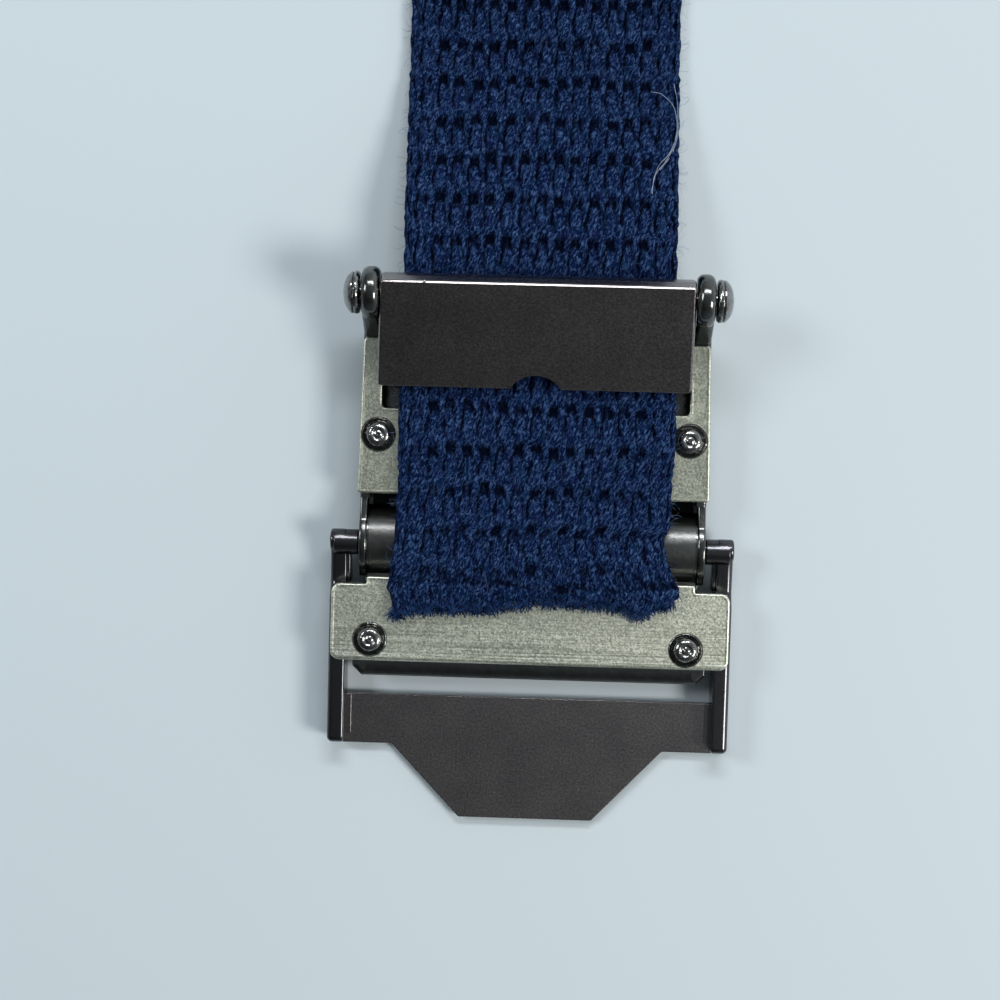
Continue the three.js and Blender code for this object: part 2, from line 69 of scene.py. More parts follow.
# How a raised lip falls: the way in from the rim, and the share of its height that is left.
LIP_SLOPE = ((1.6, 0.6), (2.2, 0.0))

Point = tuple[float, float]
Corner = tuple[float, float, float]
Place = tuple[float, float, float]
Colour = tuple[float, float, float, float]
Rim = float | Callable[[Point], float]


class Axis(Enum):
    """The way that an outline is drawn out into a solid."""

    X = "outline in y and z"
    Y = "outline in z and x"
    Z = "outline in x and y"


class Body(Enum):
    """The moving parts of the buckle."""

    BUCKLE = "buckle"
    FLAP = "flap"
    LEVER = "lever"


class Slot(Enum):
    """The record's material slots."""

    WEBBING = "webbing"
    GUNMETAL = "gunmetal"
    NICKEL = "brushed_nickel"
    BLACK_NICKEL = "black_nickel"


def linear(code: str) -> Colour:
    """Turns an sRGB hex colour into linear light.

    Args:
        code: the colour as "#rrggbb".

    Returns:
        Red, green, blue and an alpha of one.
    """
    channels = [int(code[i : i + 2], 16) / 255 for i in (1, 3, 5)]
    light = [c / 12.92 if c <= 0.04045 else ((c + 0.055) / 1.055) ** 2.4 for c in channels]
    return (light[0], light[1], light[2], 1.0)


def add_node(tree: NodeTree, kind: str, inputs: dict | None = None, **settings: object) -> Node:
    """Adds a node with its settings and links.

    Args:
        tree: the tree that the node joins.
        kind: the node's type name.
        inputs: for each input, by name or number, a plain value or a socket to link.
        settings: the node's own properties.

    Returns:
        The new node.
    """
    node = tree.nodes.new(kind)
    for name, value in settings.items():
        setattr(node, name, value)
    for key, value in (inputs or {}).items():
        if isinstance(value, NodeSocket):
            tree.links.new(value, node.inputs[key])
        else:
            node.inputs[key].default_value = value
    return node


def maths(tree: NodeTree, operation: str, *values: float | NodeSocket) -> NodeSocket:
    """The result of one sum on plain values and sockets."""
    inputs = dict(enumerate(values))
    return add_node(tree, "ShaderNodeMath", inputs, operation=operation).outputs[0]


def ranged(
    tree: NodeTree,
    value: NodeSocket,
    source: Point,
    target: tuple[float | NodeSocket, float | NodeSocket] = (0.0, 1.0),
    **settings: object,
) -> NodeSocket:
    """A value carried from one range to another, and held at its ends."""
    inputs = {"Value": value, 1: source[0], 2: source[1], 3: target[0], 4: target[1]}
    return add_node(tree, "ShaderNodeMapRange", inputs, **settings).outputs[0]


def mixed(
    tree: NodeTree,
    share: float | NodeSocket,
    first: NodeSocket | Colour,
    second: NodeSocket | Colour,
    blend: str = "MIX",
) -> NodeSocket:
    """A blend of two colours.

    Args:
        tree: the tree that the nodes join.
        share: how much of the second colour there is, 0 to 1.
        first: the colour at a share of 0.
        second: the colour at a share of 1.
        blend: how the second is laid over the first.

    Returns:
        The blended colour.
    """
    inputs = {0: share, 6: first, 7: second}
    mix = add_node(tree, "ShaderNodeMix", inputs, data_type="RGBA", blend_type=blend)
    return mix.outputs[2]


def noise(
    tree: NodeTree, place: NodeSocket, scale: float, detail: float = 2.0, **more: float
) -> NodeSocket:
    """Smooth noise over a place. More inputs are given by name."""
    inputs = {"Vector": place, "Scale": scale, "Detail": detail, **more}
    return add_node(tree, "ShaderNodeTexNoise", inputs).outputs["Fac"]


def bumped(tree: NodeTree, height: NodeSocket, depth: float) -> NodeSocket:
    """The normal of a surface that a height roughens by a depth in millimetres."""
    inputs = {"Height": height, "Distance": depth * MM, "Strength": 1.0}
    return add_node(tree, "ShaderNodeBump", inputs).outputs[0]


def shaded(tree: NodeTree, inputs: dict) -> None:
    """Ends a material: its surface takes the given inputs."""
    shader = add_node(tree, "ShaderNodeBsdfPrincipled", inputs)
    add_node(tree, "ShaderNodeOutputMaterial", {"Surface": shader.outputs[0]})


@dataclass
class Shell:
    """A closed surface in millimetres, along the belt from the hinge line."""

    points: np.ndarray
    faces: list[tuple[int, ...]]

    def moved(self, x: float = 0, y: float = 0, z: float = 0) -> Shell:
        """The same surface, shifted."""
        return Shell(self.points + np.array([x, y, z]), self.faces)

    def turned(self, matrix: Matrix) -> Shell:
        """The same surface, turned by a rotation matrix about the origin."""
        return Shell(self.points @ np.array(matrix.to_3x3()).T, self.faces)


def rounded(corners: Sequence[Corner], steps: int = 6) -> list[Point]:
    """Draws an outline through corners, each rounded by its own radius.

    Args:
        corners: two coordinates and a radius for each corner, in order.
        steps: straight bits in each rounding.

    Returns:
        The outline's points.
    """
    outline: list[Point] = []
    for i, (a, b, radius) in enumerate(corners):
        here = np.array([a, b])
        back = np.array(corners[i - 1][:2]) - here
        ahead = np.array(corners[(i + 1) % len(corners)][:2]) - here
        back, ahead = back / np.linalg.norm(back), ahead / np.linalg.norm(ahead)
        half = math.acos(float(np.clip(back @ ahead, -1, 1))) / 2
        if radius <= 0 or abs(half - QUARTER) < 1e-3:
            outline.append((a, b))
            continue
        middle = (back + ahead) / np.linalg.norm(back + ahead)
        centre = here + middle * radius / math.sin(half)
        first = here + back * radius / math.tan(half) - centre
        last = here + ahead * radius / math.tan(half) - centre
        start = math.atan2(first[1], first[0])
        sweep = (math.atan2(last[1], last[0]) - start + math.pi) % (2 * math.pi) - math.pi
        outline += arc(centre[0], centre[1], radius, start, start + sweep, steps)
    return outline


def arc(a: float, b: float, radius: float, start: float, end: float, steps: int) -> list[Point]:
    """Points on an arc about (a, b), both ends among them."""
    angles = np.linspace(start, end, steps + 1)
    return [(a + radius * math.cos(t), b + radius * math.sin(t)) for t in angles]


def circle(a: float, b: float, radius: float, steps: int = 48) -> list[Point]:
    """Points of a full circle about (a, b)."""
    return arc(a, b, radius, 0, 2 * math.pi, steps)[:-1]


def box_outline(a0: float, a1: float, b0: float, b1: float, radius: float = 0) -> list[Point]:
    """A rectangle's outline with rounded corners."""
    return rounded([(a0, b0, radius), (a1, b0, radius), (a1, b1, radius), (a0, b1, radius)])


def mirrored(half: Sequence[Corner]) -> list[Point]:
    """A left-right symmetric outline from the corners of its right half, near end first."""
    return rounded([*half, *[(-x, y, radius) for x, y, radius in reversed(half)]])


def prism(
    outlines: Sequence[Sequence[Point]],
    low: float,
    high: float,
    rim: Rim = 0.2,
    axis: Axis = Axis.Z,
    steps: int = 3,
    fall: float = 0.3,
    lip: float = 0.0,
    ends: Point = (1.0, 1.0),
) -> Shell:
    """Draws an outline out into a solid whose end rims are rounded.

    Args:
        outlines: the outer outline, then a hole with as many points if there is one.
        low: where the solid starts along its axis.
        high: where it ends.
        rim: the rounding's width, or a function of the way that an edge faces.
        axis: the axis that it is drawn along.
        steps: rows of faces in each rounding.
        fall: the rounding's height where its width is a function.
        lip: how far the upper rim stands above the face inside it.
        ends: how much larger the rounding is at the low and at the high end.

    Returns:
        The closed surface.
    """
    height = min(rim if isinstance(rim, float | int) else fall, (high - low) / 2)
    angles = np.linspace(0, QUARTER, steps + 1)
    rounding = [(1 - math.sin(t), height * (1 - math.cos(t))) for t in angles]
    levels = [(ends[0] * share, low + ends[0] * rise) for share, rise in rounding]
    levels += [(ends[1] * share, high + lip - ends[1] * rise) for share, rise in rounding[::-1]]
    if lip:
        levels += [(inset, high + lip * share) for inset, share in LIP_SLOPE]
    points: list[np.ndarray] = []
    faces: list[tuple[int, ...]] = []
    starts: list[int] = []
    total = 0
    for index, outline in enumerate(outlines):
        loop = np.array(outline, float)
        ahead = np.roll(loop, -1, axis=0)
        area = float((loop[:, 0] * ahead[:, 1] - ahead[:, 0] * loop[:, 1]).sum())
        if (area > 0) != (index == 0):
            loop = loop[::-1]
            ahead = np.roll(loop, -1, axis=0)
        edge = ahead - loop
        edge /= np.linalg.norm(edge, axis=1)[:, None]
        facing = np.stack([edge[:, 1], -edge[:, 0]], axis=1)
        before = np.roll(facing, 1, axis=0)
        mitre = (facing + before) / (1 + (facing * before).sum(axis=1))[:, None]
        widths = np.array([rim((n[0], n[1])) if callable(rim) else rim for n in mitre])
        count = len(loop)
        starts.append(total)
        for share, z in levels:
            ring = loop - mitre * (widths * share)[:, None]
            points.append(np.column_stack([ring, np.full(count, z)]))
        for level in range(len(levels) - 1):
            row = total + level * count
            faces += [
                (row + i, row + (i + 1) % count, row + count + (i + 1) % count, row + count + i)
                for i in range(count)
            ]
        total += count * len(levels)
    stacked = np.vstack(points)
    for level, upwards in ((0, False), (len(levels) - 1, True)):
        rings = [
            np.arange(len(outline)) + start + level * len(outline)
            for start, outline in zip(starts, outlines)
        ]
        if len(rings) == 1:
            faces.append(tuple(int(i) for i in (rings[0] if upwards else rings[0][::-1])))
            continue
        outer, inner = rings[0], rings[1][::-1]
        spans = [
            np.linalg.norm(stacked[outer] - stacked[np.roll(inner, k)], axis=1).sum()
            for k in range(len(inner))
        ]
        inner = np.roll(inner, int(np.argmin(spans)))
        ring = np.stack([outer, np.roll(outer, -1), np.roll(inner, -1), inner], axis=1)
        faces += [tuple(int(i) for i in (quad if upwards else quad[::-1])) for quad in ring]
    columns = {Axis.Z: [0, 1, 2], Axis.X: [2, 0, 1], Axis.Y: [1, 2, 0]}[axis]
    return Shell(stacked[:, columns], faces)


def lathe(profile: Sequence[Point], sides: int = 48) -> Shell:
    """Turns a profile of radius and height, from the axis up to the axis, about Z.

    Args:
        profile: points of radius and height, from the axis up to the axis.
        sides: how many sides the round has.

    Returns:
        The closed surface.
    """
    rows = [(r, z) for r, z in profile[1:-1]]
    angles = np.arange(sides) * 2 * math.pi / sides
    points = [np.array([[0, 0, profile[0][1]]])]
    for r, z in rows:
        points.append(np.column_stack([r * np.cos(angles), r * np.sin(angles), np.full(sides, z)]))
    points.append(np.array([[0, 0, profile[-1][1]]]))
    last = 1 + sides * len(rows)
    faces: list[tuple[int, ...]] = []
    for i in range(sides):
        j = (i + 1) % sides
        faces.append((0, 1 + j, 1 + i))
        faces.append((last, last - sides + i, last - sides + j))
        for row in range(len(rows) - 1):
            low = 1 + row * sides
            faces.append((low + i, low + j, low + sides + j, low + sides + i))
    return Shell(np.vstack(points), faces)


def span(side: int, inner: float, outer: float) -> Point:
    """Where a piece between two distances from the middle starts and ends on one side."""
    low, high = sorted((side * inner, side * outer))
    return low, high


def rod(radius: float, x0: float, x1: float, y: float, z: float, rim: float = 0.15) -> Shell:
    """A round rod along X with rounded rims."""
    return prism([circle(y, z, radius)], x0, x1, rim, Axis.X)


def block(
    x0: float, x1: float, y0: float, y1: float, z0: float, z1: float, rim: float = 0.15
) -> Shell:
    """A block between two corners with softened edges."""
    return prism([box_outline(x0, x1, y0, y1, rim)], z0, z1, rim)


def bare_mesh(name: str, shell: Shell) -> Mesh:
    """A Blender mesh of a shell, still in millimetres from the hinge line.

    Args:
        name: the mesh's name.
        shell: the surface.

    Returns:
        The mesh.
    """
    mesh = bpy.data.meshes.new(name)
    mesh.from_pydata([tuple(p) for p in shell.points], [], shell.faces)
    return mesh


def placed(name: str, data: ID) -> Object:
    """A new object in the scene.

    Args:
        name: the object's name.
        data: its mesh, lamp or camera.

    Returns:
        The object.
    """
    thing = bpy.data.objects.new(name, data)
    bpy.context.scene.collection.objects.link(thing)
    return thing


def points_object(
    frame: Frame, name: str, points: Sequence[Place], edges: Sequence[tuple[int, int]] = ()
) -> Object:
    """An object of bare points and edges, settled into the frame.

    Args:
        frame: the frame that it is settled into.
        name: the object's name.
        points: the points in millimetres, from the hinge line.
        edges: pairs of point numbers that an edge joins.

    Returns:
        The object.
    """
    mesh = bpy.data.meshes.new(name)
    mesh.from_pydata([tuple(p) for p in points], edges, [])
    frame.settle(mesh)
    return placed(name, mesh)


def evaluated_mesh(thing: Object) -> Mesh:
    """A plain mesh of an object with its modifiers applied."""
    graph = bpy.context.evaluated_depsgraph_get()
    return bpy.data.meshes.new_from_object(thing.evaluated_get(graph))


def fused(name: str, parts: Sequence[Shell], cuts: Sequence[Shell] = ()) -> Mesh:
    """Joins closed shells into one skin and cuts others out of it.

    Args:
        name: the mesh's name.
        parts: the shells to join.
        cuts: the shells to take away.

    Returns:
        One closed mesh, in millimetres.
    """
    base = placed(name, bare_mesh(name, parts[0]))
    tools = []
    steps = [(part, "UNION") for part in parts[1:]] + [(cut, "DIFFERENCE") for cut in cuts]
    for shell, operation in steps:
        tool = placed("tool", bare_mesh("tool", shell))
        step = base.modifiers.new("join", "BOOLEAN")
        step.operation, step.solver, step.object = operation, "MANIFOLD", tool
        tools.append(tool)
    mesh = evaluated_mesh(base)
    for thing in [base, *tools]:
        old = thing.data
        bpy.data.objects.remove(thing)
        bpy.data.meshes.remove(old)
    mesh.name = name
    return mesh


@dataclass(frozen=True)
class Frame:
    """Where the hinge line and the clamp pin lie in the frame."""

    hinge_y: float
    hinge_z: float
    pin_y: float
    pin_z: float

    @classmethod
    def read(cls, joints: Sequence[dict]) -> Frame:
        """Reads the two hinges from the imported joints.

        Args:
            joints: the pack's joints, with their places in metres.

        Returns:
            The places in millimetres.
        """
        places = {joint["name"]: joint["pos_m"] for joint in joints}
        lever, flap = places["lever_hinge"], places["flap_hinge"]
        return cls(
            hinge_y=lever[1] / MM,
            hinge_z=lever[2] / MM,
            pin_y=(flap[1] - lever[1]) / MM,
            pin_z=flap[2] / MM,
        )

    def settle(self, mesh: Mesh) -> None:
        """Moves a mesh from the hinge line to the frame's origin and into metres."""
        mesh.transform(Matrix.Scale(MM, 4) @ Matrix.Translation((0, self.hinge_y, 0)))


def finished(frame: Frame, mesh: Mesh, material: Material, angle: float = SMOOTH_ANGLE) -> Object:
    """Puts a fused mesh into the scene as a finished metal piece.

    Args:
        frame: the frame that it is settled into.
        mesh: the mesh in millimetres; its name names the piece.
        material: its finish.
        angle: edges sharper than this stay sharp.

    Returns:
        The piece, at the origin.
    """
    frame.settle(mesh)
    mesh.shade_smooth()
    mesh.set_sharp_from_angle(angle=angle)
    rough = placed(mesh.name, mesh)
    step = rough.modifiers.new("weights", "WEIGHTED_NORMAL")
    step.keep_sharp = True
    step.weight = 80
    even = evaluated_mesh(rough)
    name = mesh.name
    bpy.data.objects.remove(rough)
    bpy.data.meshes.remove(mesh)
    even.name = name
    even.materials.clear()
    even.materials.append(material)
    return placed(name, even)


def register(piece: Object, body: Body, slot: Slot, nodes: Sequence[str] = ()) -> None:
    """Hangs a piece on the body that it rides on and hides the CAD nodes that it stands for.

    Args:
        piece: the finished piece.
        body: the body that it rides on.
        slot: the material slot that it shows; not used.
        nodes: the CAD nodes that it stands for.
    """
    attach(piece, body.value)
    if nodes:
        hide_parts(*nodes)
    log.info("%s: %d faces, on %s", piece.name, len(piece.data.polygons), body.value)


def new_material(name: str) -> tuple[Material, NodeTree]:
    """An empty node material and its tree.

    Args:
        name: the material's name.

    Returns:
        The material and its node tree.
    """
    material = bpy.data.materials.new(name)
    material.use_nodes = True
    material.node_tree.nodes.clear()
    return material, material.node_tree


@dataclass(frozen=True)
class PlatedMetal:
    """Plated metal: a tinted mirror, dulled by fine grain, with clouds, specks and brush lines.

    Sizes are millimetres, places are the frame's own. brush_from and brush_to bound the band
    along Y where the brushing shows. satin_box is half a width, a middle along Y and half a
    length: inside it the metal is duller, and below hollow_floor there its colour is painted
    dark, a painted shade on the floor of the hollow.
    painted_dark_above is the height above which the colour is painted black, a painted shade and
    dark reflection on the lever's arms. soft_edge is how far a change of painted shade with
    height is spread.
    """

    name: str
    colour: str
    cloud: str
    roughness: float
    cloud_size: float = 6.0
    cloud_share: float = 0.5
    grain_size: float = 0.25
    grain_depth: float = 0.004
    grain_contrast: float = 0.1
    speck: str = "#cfcac2"
    speck_spacing: float = 3.0
    speck_radius: float = 0.0
    brush_from: float = 0.0
    brush_to: float = 0.0
    brush_depth: float = 0.0
    brush_scale: Place = (40.0, 3200.0, 40.0)
    cloud_range: Point = (0.35, 0.7)
    grain_range: Point = (0.3, 0.7)
    dull_range: Point = (0.25, 0.75)
    dull_spread: Point = (0.82, 1.18)
    satin_box: Place = (0.0, 0.0, 0.0)
    satin_roughness: float = 0.4
    hollow_floor: float = 0.0
    # Painted shade: the colour laid on the floor of the hollow, below hollow_floor inside the satin
    # box.
    painted_hollow_shade: str = "#1c1c1e"
    # Painted shade and dark reflection: above this height the colour turns to the black below.
    painted_dark_above: float = 0.0
    black: str = "#565659"
    soft_edge: float = 0.4

    def material(self) -> Material:
        """Builds the finish as a node material.

        Returns:
            The material.
        """
        material, tree = new_material(self.name)
        place = add_node(tree, "ShaderNodeTexCoord").outputs["Object"]
        clouds = noise(tree, place, 1 / (self.cloud_size * MM), 3.0)
        cloudy = ranged(tree, clouds, self.cloud_range, (0.0, self.cloud_share))
        tint = mixed(tree, cloudy, linear(self.colour), linear(self.cloud))
        height = grain = noise(tree, place, 1 / (self.grain_size * MM))
        contrast = (1 - self.grain_contrast, 1 + self.grain_contrast)
        mottle = ranged(tree, grain, self.grain_range, contrast)
        colour = mixed(tree, 1.0, tint, mottle, "MULTIPLY")
        dull_range = (self.roughness * self.dull_spread[0], self.roughness * self.dull_spread[1])
        dullness = ranged(tree, grain, self.dull_range, dull_range)
        if self.satin_box[0]:
            colour, dullness = self._satin(tree, place, colour, dullness)
        # Painted shade and dark reflection: above painted_dark_above the colour is mixed to black.
        if self.painted_dark_above:
            parts = add_node(tree, "ShaderNodeSeparateXYZ", {0: place})
            edge = (self.painted_dark_above * MM, (self.painted_dark_above + self.soft_edge) * MM)
            above = ranged(tree, parts.outputs[2], edge)
            colour = mixed(tree, above, colour, linear(self.black))
        if self.speck_radius:
            colour = self._specks(tree, place, colour)
        if self.brush_depth:
            colour, height = self._brushed(tree, place, colour, height)
        shaded(
            tree,
            {
                "Base Color": colour,
                "Metallic": 1.0,
                "Roughness": dullness,
                "Normal": bumped(tree, height, self.grain_depth),
            },
        )
        return material

    def _satin(
        self, tree: NodeTree, place: NodeSocket, colour: NodeSocket, dullness: NodeSocket
    ) -> tuple[NodeSocket, NodeSocket]:
        """Dulls the metal inside the satin box and paints shade on the floor of its hollow.

        Args:
            tree: the tree that the nodes join.
            place: the place on the piece.
            colour: the metal's colour so far.
            dullness: the metal's roughness so far.

        Returns:
            The new colour and roughness.
        """
        half_width, middle, half_length = self.satin_box
        parts = add_node(tree, "ShaderNodeSeparateXYZ", {0: place})
        along = maths(tree, "SUBTRACT", parts.outputs[1], middle * MM)
        shares = []
        for value, reach in ((parts.outputs[0], half_width), (along, half_length)):
            off = maths(tree, "ABSOLUTE", value)
            shares.append(ranged(tree, off, ((reach - 0.25) * MM, reach * MM), (1.0, 0.0)))
        share = maths(tree, "MULTIPLY", *shares)
        inputs = {0: share, 2: dullness, 3: self.satin_roughness}
        dull = add_node(tree, "ShaderNodeMix", inputs, data_type="FLOAT").outputs[0]
        # Painted shade: below hollow_floor inside the satin box the colour turns dark.
        floor = (self.hollow_floor + self.soft_edge) * MM, self.hollow_floor * MM
        dark = maths(tree, "MULTIPLY", ranged(tree, parts.outputs[2], floor), share)
        return mixed(tree, dark, colour, linear(self.painted_hollow_shade)), dull

    def _specks(self, tree: NodeTree, place: NodeSocket, colour: NodeSocket) -> NodeSocket:
        """Adds a few bright specks where the plating is scuffed through.

        Args:
            tree: the tree that the nodes join.
            place: the place on the piece.
            colour: the metal's colour so far.

        Returns:
            The new colour.
        """
        inputs = {"Vector": place, "Scale": 1 / (self.speck_spacing * MM), "Randomness": 1.0}
        cells = add_node(tree, "ShaderNodeTexVoronoi", inputs)
        size = self.speck_radius / self.speck_spacing
        spot = ranged(tree, cells.outputs["Distance"], (size, 0.4 * size))
        return mixed(tree, spot, colour, linear(self.speck))

    def _brushed(
        self, tree: NodeTree, place: NodeSocket, colour: NodeSocket, height: NodeSocket
    ) -> tuple[NodeSocket, NodeSocket]:
        """Adds brush lines along X, strongest at brush_from and gone at brush_to.

        Args:
            tree: the tree that the nodes join.
            place: the place on the piece.
            colour: the metal's colour so far.
            height: the height of the grain so far.

        Returns:
            The new colour and height.
        """
        inputs = {"Vector": place, "Scale": self.brush_scale}
        stretched = add_node(tree, "ShaderNodeMapping", inputs).outputs[0]
        lines = noise(tree, stretched, 1.0, 3.0, Roughness=0.7)
        along = add_node(tree, "ShaderNodeSeparateXYZ", {0: place}).outputs[1]
        ends = (self.brush_to * MM, self.brush_from * MM)
        band = ranged(tree, along, ends, (0.15, 1.0))
        shade = ranged(tree, lines, (0.35, 0.65), (0.5, 1.4))
        lined = mixed(tree, band, colour, shade, "MULTIPLY")
        groove = maths(tree, "MULTIPLY", lines, band)
        depth = maths(tree, "MULTIPLY", groove, self.brush_depth)
        return lined, maths(tree, "ADD", depth, height)


# Gunmetal plating on the die cast body: glossy and warm black, a faint cast grain.
# Its satin box covers the barrel, and the low floor of the gap beside the barrel gets painted
# shade.
CAST_GUNMETAL = PlatedMetal(
    "gunmetal_gloss_cast", "#6c6d6c", "#585856", roughness=0.18, grain_size=0.8,
    grain_depth=0.03, grain_contrast=0.08, satin_box=(23.0, -21.0, 8.4),
    satin_roughness=0.31, hollow_floor=1.9,
)
# Gunmetal plating on bent sheet: smooth, near-black brown with clouds and a few scuffs.
SHEET_GUNMETAL = PlatedMetal(
    "gunmetal_satin_sheet", "#95908f", "#7d7578", roughness=0.22, cloud_size=5.0,
    grain_size=0.3, grain_depth=0.003, grain_contrast=0.22, speck="#e6e0d8",
    speck_spacing=4.6, speck_radius=0.13,
)
# The same plating on the lever: the tongue keeps the sheet colour, and the arms above
# painted_dark_above are painted black, a painted shade and dark reflection.
LEVER_GUNMETAL = replace(SHEET_GUNMETAL, name="gunmetal_rubbed_tongue", painted_dark_above=1.7)
# Brushed satin nickel: pale greenish beige that sparkles finely, brush lines near one edge.
BRUSHED_NICKEL = PlatedMetal(
    "nickel_satin_brushed", "#e3e6d4", "#cfd2c2", roughness=0.38, cloud_size=11.0,
    grain_size=0.24, grain_depth=0.016, grain_contrast=0.3, brush_from=-39.6,
    brush_to=-33.0, brush_depth=2.0,
)
# The same nickel on the upper plate: a little greyer, with no brush lines.
SATIN_NICKEL = PlatedMetal(
    "nickel_satin_plain", "#cccfbe", "#b0b4a7", roughness=0.36, cloud_size=8.0,
    grain_size=0.24, grain_depth=0.016, grain_contrast=0.28,
)
# Bright black nickel: a dark, clear mirror with sharp highlights on domes.
BLACK_NICKEL = PlatedMetal(
    "black_nickel_bright", "#959594", "#767674", roughness=0.15, grain_size=0.5,
    grain_depth=0.07, grain_contrast=0.2,
)


@dataclass(frozen=True)
class CottonWebbing:
    """Dyed cotton webbing: matt navy yarns whose plies show as short slanted strokes.

    The weave map holds millimetres across and along, and the depth attribute is 0 on the
    crown of a yarn and 1 at the bottom of a pit. The colour is painted darker with depth, a
    painted shade in the pits and the valleys between yarns. Matting is how far the strokes
    break up that painted shade.
    """

    name: str
    mid: str = "#071a3f"
    light: str = "#40587f"
    shade: str = "#020920"
    # Painted shade: the colour of the pits and the valleys between yarns at full depth.
    pit: str = "#010517"
    teal: str = "#082741"
    violet: str = "#14183f"
    stroke_length: float = 0.7
    stroke_width: float = 0.25
    stroke_lean: float = math.radians(-24)
    ply_depth: float = 0.09
    patch_scale: float = 0.55
    patch_share: float = 0.42
    matting: float = 0.4
    pit_range: Point = (-0.06, 0.34)
    map_name: str = "weave"
    depth_name: str = "pit_depth"

    def material(self) -> Material:
        """Builds the finish as a node material.

        Returns:
            The material.
        """
        material, tree = new_material(self.name)
        place = add_node(tree, "ShaderNodeUVMap", uv_map=self.map_name).outputs[0]
        inputs = {"Vector": place, "Rotation": (0.0, 0.0, -self.stroke_lean)}
        turned = add_node(tree, "ShaderNodeMapping", inputs).outputs[0]
        inputs = {"Vector": turned, "Scale": (1 / self.stroke_width, 1 / self.stroke_length, 1.0)}
        drawn = add_node(tree, "ShaderNodeMapping", inputs).outputs[0]
        strokes = noise(tree, drawn, 1.0, Roughness=0.6, Distortion=1.0)
        ramp = add_node(tree, "ShaderNodeValToRGB", {0: strokes})
        stops = ramp.color_ramp.elements
        stops[0].position, stops[0].color = 0.36, linear(self.shade)
        stops[1].position, stops[1].color = 0.7, linear(self.light)
        stops.new(0.5).color = linear(self.mid)
        colour = ramp.outputs[0]
        patches = noise(tree, place, self.patch_scale)
        for low, high, tint in ((0.55, 0.72, self.teal), (0.45, 0.3, self.violet)):
            share = ranged(tree, patches, (low, high), (0.0, self.patch_share))
            colour = mixed(tree, share, colour, linear(tint))
        # Painted shade: the deeper the weave lies, the more it takes the pit colour; the strokes
        # break it up.
        depth = add_node(tree, "ShaderNodeAttribute", attribute_name=self.depth_name)
        matted = maths(tree, "MULTIPLY_ADD", strokes, -self.matting, depth.outputs["Fac"])
        painted_pit_shade = ranged(tree, matted, self.pit_range, (0.0, 0.96))
        shaded(
            tree,
            {
                "Base Color": mixed(tree, painted_pit_shade, colour, linear(self.pit)),
                "Roughness": 0.92,
                "Specular IOR Level": 0.04,
                "Sheen Weight": 0.02,
                "Sheen Roughness": 0.5,
                "Sheen Tint": linear("#6d86b4"),
                "Normal": bumped(tree, strokes, self.ply_depth),
            },
        )
        return material


@dataclass(frozen=True)
class CottonFibre:
    """Loose cotton fibres: thin, matt and a little paler than the yarn that they left."""

    name: str
    colour: str
    tip: str

    def material(self) -> Material:
        """Builds the finish as a node material.

        Returns:
            The material.
        """
        material, tree = new_material(self.name)
        place = add_node(tree, "ShaderNodeTexCoord").outputs["Object"]
        share = ranged(tree, noise(tree, place, 900.0), (0.35, 0.65))
        colour = mixed(tree, share, linear(self.colour), linear(self.tip))
        shaded(tree, {"Base Color": colour, "Roughness": 0.95, "Specular IOR Level": 0.04})
        return material


@dataclass
class Stack:
    """Heights that the metal pieces share, in millimetres above the table."""

    plate_top: float = 6.9
    plate_thickness: float = 1.2
    body_top: float = 5.55
    ledge_thickness: float = 1.2
    recess_radius: float = 2.46
    recess_depth: float = 0.85
    hole_radius: float = 1.4
    upper_studs: tuple[Point, Point] = ((-21.8, 15.05), (21.6, 15.25))
    lower_studs: tuple[Point, Point] = ((-22.35, -13.7), (21.9, -13.95))

    @property
    def plate_under(self) -> float:
        """Underside of the pale plates."""
        return self.plate_top - self.plate_thickness

    def seats(self, places: Sequence[Point]) -> list[Shell]:
        """Cutting tools for the ring recess and the hole of each stud.

        Args:
            places: the middles of the studs that the plate holds.

        Returns:
            Closed surfaces to cut away.
        """
        tools = []
        for x, y in places:
            ring = prism(
                [circle(x, y, self.recess_radius)],
                self.plate_top - self.recess_depth,
                self.plate_top + 1,
                0.12,
            )
            hole = prism([circle(x, y, self.hole_radius)], -1, self.plate_top + 1, 0.1)
            tools += [ring, hole]
        return tools


@dataclass
class UpperPlate:
    """Pale plate on the upper half, with the long window under the flap."""

    stack: Stack
    side: float = 24.6
    far_side: float = 24.15
    near: float = 6.8
    far: float = 28.6
    window_side: float = 21.4
    window: Point = (18.8, 23.8)
    rim: float = 0.26
    lip: float = 0.05

    def build(self, frame: Frame, material: Material) -> Object:
        """Makes the plate and dresses it.

        Args:
            frame: the frame that it is settled into.
            material: its finish.

        Returns:
            The piece.
        """
        outline = mirrored([(self.side, self.near, 0.5), (self.far_side, self.far, 0.7)])
        window = box_outline(-self.window_side, self.window_side, *self.window, 0.6)
        plate = prism(
            [outline, window], self.stack.plate_under, self.stack.plate_top - self.lip, self.rim,
            lip=self.lip,
        )
        mesh = fused("upper_plate", [plate], self.stack.seats(self.stack.upper_studs))
        piece = finished(frame, mesh, material)
        register(piece, Body.BUCKLE, Slot.NICKEL, ["clamp_base"])
        return piece


